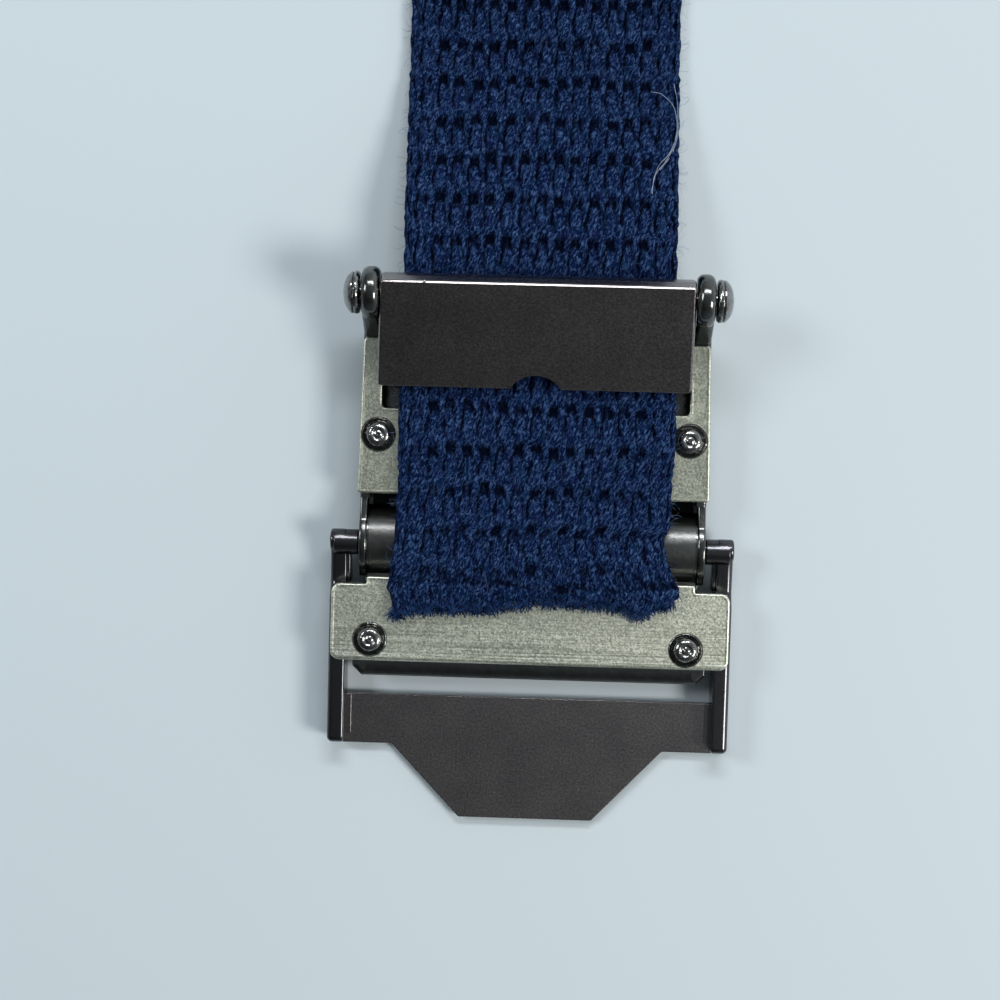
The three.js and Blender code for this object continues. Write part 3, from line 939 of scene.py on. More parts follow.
@dataclass
class LowerPlate:
    """Pale plate on the lower half, its near edge rolled down."""

    stack: Stack
    side: float = 27.9
    near: float = -5.9
    step: float = 1.05
    step_side: float = 23.0
    far: float = -16.7
    corner: float = 1.3
    rim: float = 0.26
    roll: float = 0.3
    lip: float = 0.07

    def build(self, frame: Frame, material: Material) -> Object:
        """Makes the plate and dresses it.

        Args:
            frame: the frame that it is settled into.
            material: its finish.

        Returns:
            The piece.
        """
        outline = mirrored(
            [
                (self.side, self.far, self.corner), (self.side, self.near, self.corner),
                (self.step_side, self.near, 0.2), (self.step_side, self.near + self.step, 0.3),
            ]
        )

        def rim(facing: Point) -> float:
            """The rolled edge is wider where the plate faces away from the barrel."""
            return self.rim + self.roll * max(0.0, -facing[1]) ** 2

        plate = prism(
            [outline], self.stack.plate_under, self.stack.plate_top - self.lip, rim, steps=4,
            lip=self.lip,
        )
        mesh = fused("lower_plate_dressed", [plate], self.stack.seats(self.stack.lower_studs))
        piece = finished(frame, mesh, material)
        register(piece, Body.BUCKLE, Slot.NICKEL, ["lower_plate"])
        return piece


@dataclass
class Studs:
    """Four rivets, each a low dome with a peened dimple, set by Geometry Nodes."""

    stack: Stack
    sides: int = 40
    turn: float = 1.9
    rise: float = 0.02
    profile: tuple[Point, ...] = (
        (0.0, -2.3), (1.1, -2.3), (1.1, 0.0), (2.36, 0.0), (2.42, 0.12), (2.42, 0.58),
        (2.37, 0.7), (2.28, 0.74), (2.19, 0.68), (2.13, 0.4), (2.02, 0.14), (1.84, 0.08),
        (1.72, 0.18), (1.72, 0.85), (1.68, 1.08), (1.56, 1.28), (1.38, 1.42), (1.16, 1.5),
        (0.96, 1.54), (0.84, 1.52), (0.74, 1.44), (0.62, 1.4), (0.5, 1.42), (0.4, 1.5),
        (0.28, 1.53), (0.14, 1.5), (0.0, 1.46),
    )

    def build(self, frame: Frame, material: Material) -> Object:
        """Sets one stud on each of the four places and dresses them.

        Args:
            frame: the frame that it is settled into.
            material: its finish.

        Returns:
            The piece.
        """
        seat = self.stack.plate_top - self.stack.recess_depth + self.rise
        stud_mesh = bare_mesh("stud", lathe(self.profile, self.sides))
        stud_mesh.transform(Matrix.Scale(MM, 4))
        stud_mesh.shade_smooth()
        stud_mesh.set_sharp_from_angle(angle=math.radians(50))
        stud = placed("stud", stud_mesh)
        places = [(x, y, seat) for x, y in (*self.stack.upper_studs, *self.stack.lower_studs)]
        base = points_object(frame, "stud_places", places)
        mesh = grown(base, self._tree(), {"Stud": stud, "Turn": self.turn, "Material": material})
        for thing in (base, stud):
            bpy.data.objects.remove(thing)
        mesh.name = "studs"
        piece = placed("studs", mesh)
        nodes = [f"{row}_rivet_{side}" for row in ("upper", "lower") for side in ("left", "right")]
        register(piece, Body.BUCKLE, Slot.BLACK_NICKEL, nodes)
        return piece

    @staticmethod
    def _tree() -> NodeTree:
        """The tree that sets one stud on each point, each turned a little further.

        Returns:
            The tree.
        """
        tree = new_tree("set_studs", {"Stud": "Object", "Turn": "Float", "Material": "Material"})
        given = add_node(tree, "NodeGroupInput")
        stud = add_node(tree, "GeometryNodeObjectInfo", {"Object": given.outputs["Stud"]})
        number = add_node(tree, "GeometryNodeInputIndex")
        angle = maths(tree, "MULTIPLY", number.outputs[0], given.outputs["Turn"])
        turn = add_node(tree, "ShaderNodeCombineXYZ", {"Z": angle})
        points = add_node(tree, "GeometryNodeMeshToPoints", {0: given.outputs["Geometry"]})
        copies = {
            "Points": points.outputs[0],
            "Instance": stud.outputs["Geometry"],
            "Rotation": turn.outputs[0],
        }
        studs = add_node(tree, "GeometryNodeInstanceOnPoints", copies)
        close_tree(tree, studs.outputs[0], given)
        return tree


SOCKETS = {
    "Object": "NodeSocketObject",
    "Float": "NodeSocketFloat",
    "Int": "NodeSocketInt",
    "Material": "NodeSocketMaterial",
}


def new_tree(name: str, inputs: dict[str, str]) -> NodeTree:
    """An empty Geometry Nodes tree with geometry in and out, and named inputs.

    Args:
        name: the tree's name.
        inputs: the kind of each further input, by name.

    Returns:
        The tree.
    """
    tree = bpy.data.node_groups.new(name, "GeometryNodeTree")
    tree.interface.new_socket("Geometry", in_out="INPUT", socket_type="NodeSocketGeometry")
    tree.interface.new_socket("Geometry", in_out="OUTPUT", socket_type="NodeSocketGeometry")
    for label, kind in inputs.items():
        tree.interface.new_socket(label, in_out="INPUT", socket_type=SOCKETS[kind])
    return tree


def tube(
    tree: NodeTree, curve: NodeSocket, sides: int | NodeSocket, radius: NodeSocket
) -> NodeSocket:
    """A curve drawn out into a closed tube.

    Args:
        tree: the tree that the nodes join.
        curve: the curve's geometry.
        sides: how many sides the tube has.
        radius: its radius in metres.

    Returns:
        The tube's geometry.
    """
    ring = add_node(tree, "GeometryNodeCurvePrimitiveCircle", {"Resolution": sides, 4: radius})
    inputs = {"Curve": curve, "Profile Curve": ring.outputs[0], "Fill Caps": True}
    return add_node(tree, "GeometryNodeCurveToMesh", inputs).outputs[0]


def close_tree(tree: NodeTree, geometry: NodeSocket, given: Node) -> None:
    """Ends a tree: its instances are made real and take the given material.

    Args:
        tree: the tree that ends here.
        geometry: what it has made.
        given: the tree's input node.
    """
    real = add_node(tree, "GeometryNodeRealizeInstances", {0: geometry})
    dressed = add_node(
        tree,
        "GeometryNodeSetMaterial",
        {"Geometry": real.outputs[0], "Material": given.outputs["Material"]},
    )
    add_node(tree, "NodeGroupOutput", {0: dressed.outputs[0]})


def grown(base: Object, tree: NodeTree, values: dict[str, object]) -> Mesh:
    """Runs a Geometry Nodes tree on an object.

    Args:
        base: the object that the tree reads.
        tree: the tree.
        values: a value for each named input.

    Returns:
        The result as a plain mesh. The modifier is removed again.
    """
    step = base.modifiers.new(tree.name, "NODES")
    step.node_group = tree
    for item in tree.interface.items_tree:
        if item.in_out == "INPUT" and item.name in values:
            step[item.identifier] = values[item.name]
    mesh = evaluated_mesh(base)
    base.modifiers.remove(step)
    return mesh


@dataclass
class ClampPin:
    """Pin through the ears and the flap, with a flanged dome at each end."""

    shoulder: float = 24.1
    radius: float = 1.25
    dome: tuple[Point, ...] = (
        (0.0, -0.4), (1.25, -0.4), (1.3, 0.0), (2.3, 0.02), (2.7, 0.12), (2.9, 0.34), (2.95, 0.6),
        (2.9, 0.82), (2.74, 0.92), (2.84, 1.02), (2.86, 1.16), (2.72, 1.4), (2.4, 1.72),
        (1.9, 2.02), (1.3, 2.22), (0.65, 2.34), (0.0, 2.37),
    )

    def build(self, frame: Frame, material: Material) -> Object:
        """Makes the pin and dresses it.

        Args:
            frame: the frame that it is settled into.
            material: its finish.

        Returns:
            The piece.
        """
        reach = self.shoulder + 0.3
        parts = [rod(self.radius, -reach, reach, frame.pin_y, frame.pin_z)]
        for side in (-1, 1):
            turn = Matrix.Rotation(side * QUARTER, 3, "Y")
            head = lathe(self.dome).turned(turn)
            parts.append(head.moved(side * self.shoulder, frame.pin_y, frame.pin_z))
        piece = finished(frame, fused("pin_dressed", parts), material)
        register(piece, Body.BUCKLE, Slot.BLACK_NICKEL, ["clamp_pin"])
        return piece


@dataclass
class ClampFlap:
    """Clamp flap: sheet metal bent over its pin, leaning down to bite on the webbing."""

    side: float = 21.25
    thickness: float = 1.25
    length: float = 12.4
    inside: float = 1.55
    lean: float = math.radians(20.5)
    corner: float = 0.9
    notch_width: float = 7.0
    notch_depth: float = 2.05
    splay: Point = (0.55, 0.1)
    nib: Place = (-15.3, 2.3, 2.58)

    def build(self, frame: Frame, material: Material) -> Object:
        """Makes the flap level at its hinge, leans it and dresses it.

        Args:
            frame: the frame that it is settled into.
            material: its finish.

        Returns:
            The piece.
        """
        outer = self.inside + self.thickness
        profile = rounded(
            [
                (-self.length, self.inside, 0.35), (-2.35, self.inside, 0.3), (-2.55, 0.2, 0.6),
                (-1.9, -2.1, 1.2), (0.6, -2.8, 1.3), (2.64, -1.3, 1.5), (2.94, 0.3, 1.0),
                (2.94, 1.3, 0.9), (2.62, 2.6, 0.35), (2.36, outer, 0.16),
                (-self.length, outer, 0.25),
            ],
            steps=8,
        )
        sheet = prism([profile], -self.side, self.side, 0.42, Axis.X, 5)
        bore = prism([circle(0, 0, self.inside)], -self.side - 1, self.side + 1, 0.1, Axis.X)
        corners = [
            prism(
                [
                    [
                        (side * (self.side + 1), -self.length - 1),
                        (side * (self.side + 1), -self.length + self.corner),
                        *arc(
                            side * (self.side - self.corner),
                            -self.length + self.corner,
                            self.corner,
                            0 if side > 0 else math.pi,
                            -QUARTER if side > 0 else 1.5 * math.pi,
                            8,
                        ),
                        (side * (self.side - self.corner), -self.length - 1),
                    ]
                ],
                0,
                5,
                0.05,
            )
            for side in (-1, 1)
        ]
        half = self.notch_width / 2
        radius = (half**2 + self.notch_depth**2) / (2 * self.notch_depth)
        notch = prism([circle(0, -self.length - radius + self.notch_depth, radius, 72)], 0, 5, 0.05)
        nib = lathe([(0, -0.3), (0.42, -0.2), (0.4, 0.05), (0.22, 0.2), (0, 0.24)], 16)
        mesh = fused("flap_dressed", [sheet, nib.moved(*self.nib)], [bore, notch, *corners])
        for vertex in mesh.vertices:
            share = max(0.0, -vertex.co.y) / self.length
            vertex.co.x += share * vertex.co.x / self.side * self.splay[int(vertex.co.x > 0)]
        mesh.transform(
            Matrix.Translation((0, frame.pin_y, frame.pin_z)) @ Matrix.Rotation(self.lean, 4, "X")
        )
        piece = finished(frame, mesh, material)
        register(piece, Body.FLAP, Slot.GUNMETAL, ["clamp_flap"])
        return piece


@dataclass
class BuckleBody:
    """Cast body: face tray, ears, hinge barrel with its cheeks, and the ledge with its lip."""

    stack: Stack
    side: float = 24.3
    near: float = -3.0
    far: float = 31.5
    face: float = 1.2
    wall: float = 1.4
    near_wall: float = 6.1
    pocket_far: float = 27.0
    barrel_radius: float = 5.1
    barrel_wall: float = 1.2
    barrel_top: float = 6.8
    cheek: Point = (23.15, 24.25)
    cheek_span: Point = (-5.0, 6.5)
    ledge_side: float = 24.9
    ledge_near: float = -5.15
    ledge_slope: float = 1.9
    ledge_end: float = -19.0
    ledge_chamfer: float = 1.3
    lip: float = 1.4
    jaw_depth: float = 2.4
    ear: Point = (21.4, 23.9)
    ear_radius: float = 3.6
    ear_rim: float = 0.95
    neck: Point = (21.75, 24.05)
    neck_near: float = 28.75
    bore_radius: float = 1.55
    trunnion_radius: float = 1.5

    def build(self, frame: Frame, material: Material) -> Object:
        """Joins the casting's lumps, cuts its bores and dresses it.

        Args:
            frame: the frame that it is settled into.
            material: its finish.

        Returns:
            The piece.
        """
        cuts = [*self._tray_cuts(), *self._bores(frame)]
        mesh = fused("body_cut", [self._tray()], cuts[:3])
        tray = self._as_shell(mesh)
        parts = [tray, self._barrel(), *self._ledge(), *self._ears(frame), *self._cheeks()]
        mesh = fused("body_dressed", parts, cuts[3:])
        piece = finished(frame, mesh, material)
        register(piece, Body.BUCKLE, Slot.GUNMETAL, ["buckle_body"])
        return piece

    @staticmethod
    def _as_shell(mesh: Mesh) -> Shell:
        """A mesh as a shell again, so that it can be joined further.

        Args:
            mesh: the mesh in millimetres.

        Returns:
            The same surface.
        """
        points = np.array([v.co[:] for v in mesh.vertices])
        faces = [tuple(p.vertices) for p in mesh.polygons]
        bpy.data.meshes.remove(mesh)
        return Shell(points, faces)

    def _tray(self) -> Shell:
        """The front plate and its walls as one block."""
        outline = box_outline(-self.side, self.side, self.near, self.far, 1.2)
        return prism([outline], 0, self.stack.body_top, 0.4)

    def _tray_cuts(self) -> list[Shell]:
        """The pocket inside the walls, and the room for the barrel.

        Returns:
            Closed surfaces to cut away.
        """
        inner = self.side - self.wall
        high = self.stack.body_top + 2
        pocket = block(
            -inner, inner, self.near_wall + self.wall, self.pocket_far, self.face, high, 0.3
        )
        wide = self.side + 2
        room = block(-wide, wide, self.near - 2, self.near_wall, self.face, high, 0.05)
        narrow = self.cheek[0] - 0.2
        gap = block(-narrow, narrow, self.near_wall - 1, self.near_wall + 3, 1.7, high, 0.05)
        return [pocket, room, gap]

    def _bores(self, frame: Frame) -> list[Shell]:
        """The holes for the clamp pin and the lever's trunnions.

        Args:
            frame: where the clamp pin lies.

        Returns:
            Closed surfaces to cut away.
        """
        bores = []
        for side in (-1, 1):
            through = span(side, self.ear[0] - 1, self.ear[1] + 1)
            bores.append(rod(self.bore_radius, *through, frame.pin_y, frame.pin_z, 0.05))
            through = span(side, self.cheek[0], self.cheek[1] + 1)
            bores.append(rod(self.trunnion_radius, *through, 0, frame.hinge_z, 0.05))
        return bores

    def _barrel(self) -> Shell:
        """Half pipe over the hinge line, running on into the ledge.

        Returns:
            The closed surface.
        """
        axis = self.barrel_top - self.barrel_radius
        inner = self.barrel_radius - self.barrel_wall
        under = self.stack.body_top - self.stack.ledge_thickness
        end = math.pi - math.asin((under - 1.2 - axis) / inner)
        shelf = under - 0.6
        last = math.pi - math.asin((shelf - axis) / self.barrel_radius)
        outline = [
            (inner, 0.0), (self.barrel_radius, 0.0), *arc(0, axis, self.barrel_radius, 0, last, 40),
            (-self.barrel_radius - 1.0, shelf), (-self.barrel_radius - 1.0, under - 1.2),
            *arc(0, axis, inner, end, 0, 30),
        ]
        reach = self.cheek[0] + 0.4
        return prism([outline], -reach, reach, 0.1, Axis.X)

    def _ledge(self) -> list[Shell]:
        """The ledge under the lower plate, and the lip that turns down at its end.

        Returns:
            Closed surfaces that overlap.
        """
        top = self.stack.body_top
        edge = self.ledge_side - self.ledge_chamfer
        outline = mirrored(
            [
                (edge, self.ledge_end, 0.4),
                (self.ledge_side, self.ledge_end + self.ledge_chamfer, 0.4),
                (self.ledge_side, self.ledge_near - 1.2, 0.2),
                (self.cheek[0] - 0.4, self.ledge_near - 1.2, 0.0),
                (self.cheek[0] - 0.4, self.ledge_near, 0.2),
            ]
        )

        def slope(facing: Point) -> float:
            """The top slopes down towards the lip and is only softened elsewhere."""
            return 0.3 + self.ledge_slope * max(0.0, -facing[1]) ** 4

        ledge = prism(
            [outline], top - self.stack.ledge_thickness - 0.5, top, slope, steps=5, fall=0.8
        )
        lip = block(
            -edge, edge, self.ledge_end, self.ledge_end + self.lip, top - self.jaw_depth,
            top - 0.8, 0.3,
        )
        return [ledge, lip]

    def _cheeks(self) -> list[Shell]:
        """The side walls beside the barrel.

        Returns:
            Closed surfaces, one for each side.
        """
        near, far = self.cheek_span
        axis = self.barrel_top - self.barrel_radius
        crest = arc(0, axis, self.barrel_radius + 0.25, math.radians(52), math.radians(140), 14)
        outline = [
            (near, 0.6), (near + 0.6, 0.0), (far, 0.0), (far, self.stack.body_top - 0.3), *crest,
            (near, 4.4),
        ]
        return [prism([outline], *span(side, *self.cheek), 0.25, Axis.X) for side in (-1, 1)]

    def _ears(self, frame: Frame) -> list[Shell]:
        """Bead-like eyes round the clamp pin, on necks that lean out from the far wall.

        Args:
            frame: where the clamp pin lies.

        Returns:
            Closed surfaces that overlap.
        """
        y, z = frame.pin_y, frame.pin_z
        far_wall = self.stack.body_top - 0.4
        eye = circle(y, z, self.ear_radius, 64)
        neck = rounded(
            [
                (self.neck_near, far_wall, 0.0), (self.far, far_wall, 0.0), (y + 2.2, z - 2.4, 0.6),
                (y, z, 0.0), (y - 3.2, z - 1.2, 0.6),
                (self.neck_near, self.stack.plate_top + 0.6, 0.6),
            ]
        )
        shells = []
        for side in (-1, 1):
            shells.append(prism([eye], *span(side, *self.ear), self.ear_rim, Axis.X, 5))
            shells.append(prism([neck], *span(side, *self.neck), 0.4, Axis.X))
        return shells


@dataclass
class Lever:
    """Lever bent from sheet: two arms that turn on the cheeks, joined by the tongue."""

    arm: Point = (26.0, 28.35)
    eye_radius: float = 1.6
    boss: float = 1.8
    boss_inner: float = 24.4
    trunnion: Point = (23.45, 1.2)
    waist: float = 4.4
    heel_inner: float = 25.5
    heel: float = -6.0
    arm_end: float = -28.8
    arm_top: float = 5.4
    arm_fall: float = 0.4
    tongue: float = 1.5
    tongue_near: float = -22.1
    shoulder: float = -29.3
    tip: float = -39.6
    shoulder_side: float = 19.4
    tip_side: float = 9.55
    rim: float = 0.32
    outer_rim: float = 0.75

    def build(self, frame: Frame, material: Material) -> Object:
        """Joins the arms and the tongue and dresses them.

        Args:
            frame: the frame that it is settled into.
            material: its finish.

        Returns:
            The piece.
        """
        parts = [self._tongue()]
        for side in (-1, 1):
            parts += self._arm(frame, side)
        piece = finished(frame, fused("lever_dressed", parts), material)
        register(piece, Body.LEVER, Slot.GUNMETAL, ["lever_frame"])
        return piece

    def _tongue(self) -> Shell:
        """The thumb plate, tapering from its shoulders to its tip.

        Returns:
            The closed surface.
        """
        inner = self.arm[0] + 0.4
        outline = mirrored(
            [
                (self.tip_side, self.tip, 0.6), (self.shoulder_side, self.shoulder, 0.6),
                (inner, self.shoulder, 0), (inner, self.tongue_near, 0),
            ]
        )
        return prism([outline], 0, self.tongue, 0.2)

    def _arm(self, frame: Frame, side: int) -> list[Shell]:
        """One arm, its eye, its boss, its trunnion and the bend that joins it to the tongue.

        Args:
            frame: where the hinge line lies.
            side: -1 for the left, 1 for the right.

        Returns:
            Closed surfaces that overlap.
        """
        z = frame.hinge_z
        outline = rounded(
            [
                (self.arm_end, 0, 1.0), (self.heel, 0, 1.2), (0.3, z - self.eye_radius + 0.1, 0.5),
                (0.9, z, 0.3), (-0.2, z + 0.9, 0.3), (-1.2, z + 0.5, 0.4),
                (self.heel, self.waist, 1.5), (self.heel - 2.0, self.arm_top, 1.5),
                (self.arm_end, self.arm_top - self.arm_fall, 0.9),
            ]
        )
        ends = (self.outer_rim / self.rim, 1.0)[::-side]
        bar = prism([outline], *span(side, *self.arm), self.rim, Axis.X, 5, ends=ends)
        eye = rod(self.eye_radius, *span(side, *self.arm), 0, z, 0.35)
        heel = [
            (self.heel, 0.6, 0.4), (0.6, z - 1.0, 0.4), (0.0, z, 0.2), (-1.2, z, 0.2),
            (self.heel, self.waist - 0.5, 0.6),
        ]
        inside = span(side, self.heel_inner, self.arm[0] + 0.8)
        web = prism([rounded(heel)], *inside, 0.25, Axis.X)
        boss = rod(self.boss, *span(side, self.boss_inner, self.arm[1] - 0.5), -0.25, z - 0.1, 0.2)
        pin_inner, pin_radius = self.trunnion
        pin = rod(pin_radius, *span(side, pin_inner, self.boss_inner + 0.9), 0, z, 0.1)
        x, soft, lap = side * self.arm[0], 0.35, 0.3
        swing = arc(self.tongue + soft, x - side * soft, soft, math.pi, math.pi + side * QUARTER, 6)
        bend = prism(
            [
                [
                    (self.tongue - lap, x - side * soft), *swing,
                    (self.tongue + soft, x + side * lap), (self.tongue - lap, x + side * lap),
                ]
            ],
            self.arm_end + 0.9,
            self.tongue_near - 0.1,
            0.05,
            Axis.Y,
        )
        return [bar, eye, web, boss, pin, bend]


def smooth_field(
    rng: np.random.Generator, a: np.ndarray, b: np.ndarray, cell: tuple[float, float]
) -> np.ndarray:
    """Smooth random heights over two coordinates.

    Args:
        rng: the seeded source of random numbers.
        a: first coordinate of each point.
        b: second coordinate of each point.
        cell: distance between independent values along each coordinate.

    Returns:
        A value from -1 to 1 at each point.
    """
    u, v = a / cell[0], b / cell[1]
    u, v = u - np.floor(u.min()), v - np.floor(v.min())
    grid = rng.uniform(-1, 1, (int(u.max()) + 2, int(v.max()) + 2))
    i, j = u.astype(int), v.astype(int)
    s, t = u - i, v - j
    s, t = s * s * (3 - 2 * s), t * t * (3 - 2 * t)
    low = grid[i, j] * (1 - s) + grid[i + 1, j] * s
    high = grid[i, j + 1] * (1 - s) + grid[i + 1, j + 1] * s
    return low * (1 - t) + high * t


@dataclass(frozen=True)
class Ripple:
    """Smooth random heights: how high they go, and how far apart they vary each way."""

    height: float
    across: float
    along: float

    def over(self, rng: np.random.Generator, a: np.ndarray, b: np.ndarray) -> np.ndarray:
        """The heights at two coordinates."""
        return self.height * smooth_field(rng, a, b, (self.across, self.along))


@dataclass
class WebStrap:
    """Woven cotton strap: plump warp yarns in columns that dip under the weft row by row."""

    width: float = 38.0
    thickness: float = 2.2
    far: float = 86.5
    cut: float = -8.6
    seat: float = 7.2
    drop_from: float = 35.8
    drop_run: float = 35.0
    warps: int = 32
    selvedge_warps: int = 4
    row_pitch: float = 5.7
    row_place: float = 70.4
    pit: float = 0.95
    pit_length: float = 0.87
    half_pit: float = 0.3
    selvedge_pit: float = 0.22
    jitter: float = 0.45
    force: Point = (0.5, 1.12)
    leaf_share: float = 0.3
    leaf_lift: float = 0.14
    crown: float = 0.92
    pressed: Place = (34.8, 2.4, 0.3)
    furrow: Place = (-5.3, 0.55, 0.42)
    furrow_wave: Point = (0.5, 5.0)
    furrow_gain: float = 1.2
    closed_share: float = 0.42
    opening: Place = (0.3, 0.5, 2.4)
    dip_power: float = 2.2
    dip_fall: Place = (0.75, 0.25, 0.3)
    yarn_round: float = 0.97
    weave_sink: float = 0.12
    relief_range: Point = (-1.4, 0.12)
    deepest: float = 1.25
    wear: tuple[Point, ...] = ((4.0, 0.78), (28.0, 0.86), (42.0, 0.97))
    edge_round: float = 1.25
    edge_power: float = 2.3
    scallop: float = 0.05
    end_rows: tuple[float, ...] = (0.0, 0.12, 0.3, 0.6, 0.95)
    end_run: float = 1.25
    end_round: Point = (0.95, 0.14)
    ragged_fade: float = 3.5
    mat_reach: float = 4.5
    mat_sink: float = 0.25
    droop: Point = (0.25, 1.2)
    lowest: float = 0.02
    across_step: float = 0.175
    under_step: float = 0.8
    under_shift: float = 60.0
    along_step: float = 0.3
    skew: Ripple = Ripple(0.3, 9.0, 12.0)
    tremble: Ripple = Ripple(0.12, 1.2, 1.6)
    wander: Ripple = Ripple(0.26, 2.4, 2.0)
    waver: Ripple = Ripple(0.14, 0.7, 0.6)
    fuzz: Ripple = Ripple(0.06, 0.3, 0.55)
    lumps: Ripple = Ripple(0.09, 2.4, 3.2)
    tufts: Ripple = Ripple(0.35, 1.3, 1.0)
    threads: Ripple = Ripple(0.3, 0.5, 1.0)
    clumps: Ripple = Ripple(0.4, 1.3, 1.0)
    fluff: Ripple = Ripple(0.2, 0.5, 0.5)
    rough_edge: Ripple = Ripple(0.14, 1.0, 0.7)
    seed: int = 11
    left_edge: tuple[Point, ...] = (
        (-9.5, 18.7), (-7.6, 19.2), (-5.9, 19.9), (-4.0, 19.7), (0.4, 19.2), (8.8, 18.8),
        (14.3, 18.9), (19.9, 19.0), (38.6, 18.7), (47.9, 18.9), (62.3, 19.05), (90.0, 19.05),
    )
    right_edge: tuple[Point, ...] = (
        (-9.5, 20.4), (-6.2, 20.7), (-3.9, 19.7), (-1.5, 18.9), (1.65, 18.35), (3.1, 19.2),
        (9.9, 19.25), (15.4, 19.6), (20.9, 19.4), (39.5, 19.0), (63.1, 19.0), (90.0, 18.7),
    )
    cut_edge: tuple[Point, ...] = (
        (-20.0, -0.4), (-18.6, -1.5), (-17.2, -0.5), (-12.5, -0.2), (-6.0, -0.1), (-3.6, 0.3),
        (-1.0, 0.9), (1.0, 1.2), (9.0, 0.9), (13.2, 0.6), (14.4, -0.4), (15.6, -0.5),
        (17.0, 0.5), (18.6, 1.1), (20.0, 1.6), (20.9, 2.3),
    )

    def rise(self, y: np.ndarray) -> tuple[np.ndarray, np.ndarray]:
        """Height of the strap's underside at places along Y, and its slope there.

        Args:
            y: places along the belt.

        Returns:
            The heights and the slopes.
        """
        share = np.clip((y - self.drop_from) / self.drop_run, 0, 1)
        height = self.seat * (1 + np.cos(np.pi * share)) / 2
        slope = -self.seat * np.pi * np.sin(np.pi * share) / (2 * self.drop_run)
        return height, slope

    def length(self) -> float:
        """Length of the strap along its bends.

        Returns:
            The length in millimetres.
        """
        y = np.linspace(self.cut, self.far, 2000)
        height, _ = self.rise(y)
        return float(np.hypot(np.diff(y), np.diff(height)).sum())

    def _columns(self) -> tuple[np.ndarray, np.ndarray]:
        """Shares across, and which face they lie on, for one loop round the strap.

        Returns:
            The shares from 0 to 1, and 1 for the upper face or -1 for the lower.
        """
        top = np.linspace(0, 1, int(self.width / self.across_step) + 1)
        edge = self.edge_round / self.width
        extra = edge * (1 - np.cos(np.linspace(0, QUARTER, 7)[1:-1]))
        top = np.unique(np.concatenate([top, extra, 1 - extra]))
        under = np.linspace(1, 0, int(self.width / self.under_step) + 1)
        extra = edge * (1 - np.cos(np.linspace(0, QUARTER, 6)[1:-1]))
        under = np.unique(np.concatenate([under, extra, 1 - extra]))[::-1][1:-1]
        shares = np.concatenate([top, under])
        faces = np.concatenate([np.ones(len(top)), -np.ones(len(under))])
        return shares, faces

    def _relief(
        self, rng: np.random.Generator, across: np.ndarray, along: np.ndarray
    ) -> np.ndarray:
        """Height of the weave's surface against its crown, nowhere above zero.

        Args:
            rng: the seeded source of random numbers.
            across: millimetres across from the left edge.
            along: millimetres along from the hinge line.

        Returns:
            The height in millimetres, negative inwards.
        """
        pair = 2 * self.width / self.warps
        along = along + self.skew.over(rng, across, along)
        along = along + self.tremble.over(rng, across, along)
        phase = 2 * np.pi * (along - self.row_place) / self.row_pitch
        wander = self.wander.over(rng, across, along)
        wander = wander + self.waver.over(rng, across, along)
        place = (across + wander) / pair
        number = np.floor(place + 0.25).astype(int)
        off = place - number
        bold = 0.5 + self.leaf_share * (1 - np.cos(phase)) / 2
        odd = np.abs(off) > bold / 2
        near_odd = np.where(off > 0, off - 0.5, off + 0.5)
        offset = np.where(odd, near_odd / ((1 - bold) / 2), off / (bold / 2))
        column = 2 * number + np.where(odd, np.where(off > 0, 1, -1), 0)
        column = np.clip(column, 0, self.warps)
        inner = (column >= self.selvedge_warps) & (column <= self.warps - self.selvedge_warps)
        row = (along - self.row_place) / self.row_pitch + np.where(odd, 0.5, 0.0)
        step = np.round(row).astype(int)
        rows = step - step.min()
        cells = (self.warps + 1, rows.max() + 1)
        jitter = rng.uniform(-self.jitter, self.jitter, cells)[column, rows]
        force = rng.uniform(*self.force, cells)[column, rows]
        gap = (row - step) * self.row_pitch - jitter
        half_reach, narrowing, shoaling = self.dip_fall
        reach = np.where(odd, half_reach, 1.0) * self.pit_length * (1 - narrowing * offset**2)
        depth = np.where(odd, self.half_pit, self.pit) * force * (1 - shoaling * offset**2)
        depth = np.where(inner, depth, self.selvedge_pit)
        worn = np.interp(along, *zip(*self.wear))
        dip = worn * depth * np.exp(-(np.abs(gap / reach) ** self.dip_power))
        lift = self.leaf_lift * (1 - np.cos(2 * np.pi * (row - step))) / 2
        start, run, power = self.opening
        since = np.mod((self.row_place + start - along) / self.row_pitch, 1.0)
        opened = np.exp(-((since / run) ** power))
        open_weave = self.closed_share + (1 - self.closed_share) * opened
        round_yarn = 1 - np.sqrt(np.clip(1 - self.yarn_round * offset**2, 0, 1))
        crown = worn * self.crown * open_weave * round_yarn
        fuzz = self.fuzz.over(rng, across, along)
        lumps = self.lumps.over(rng, across, along)
        return -(dip + crown) + lift + fuzz + lumps - self.weave_sink

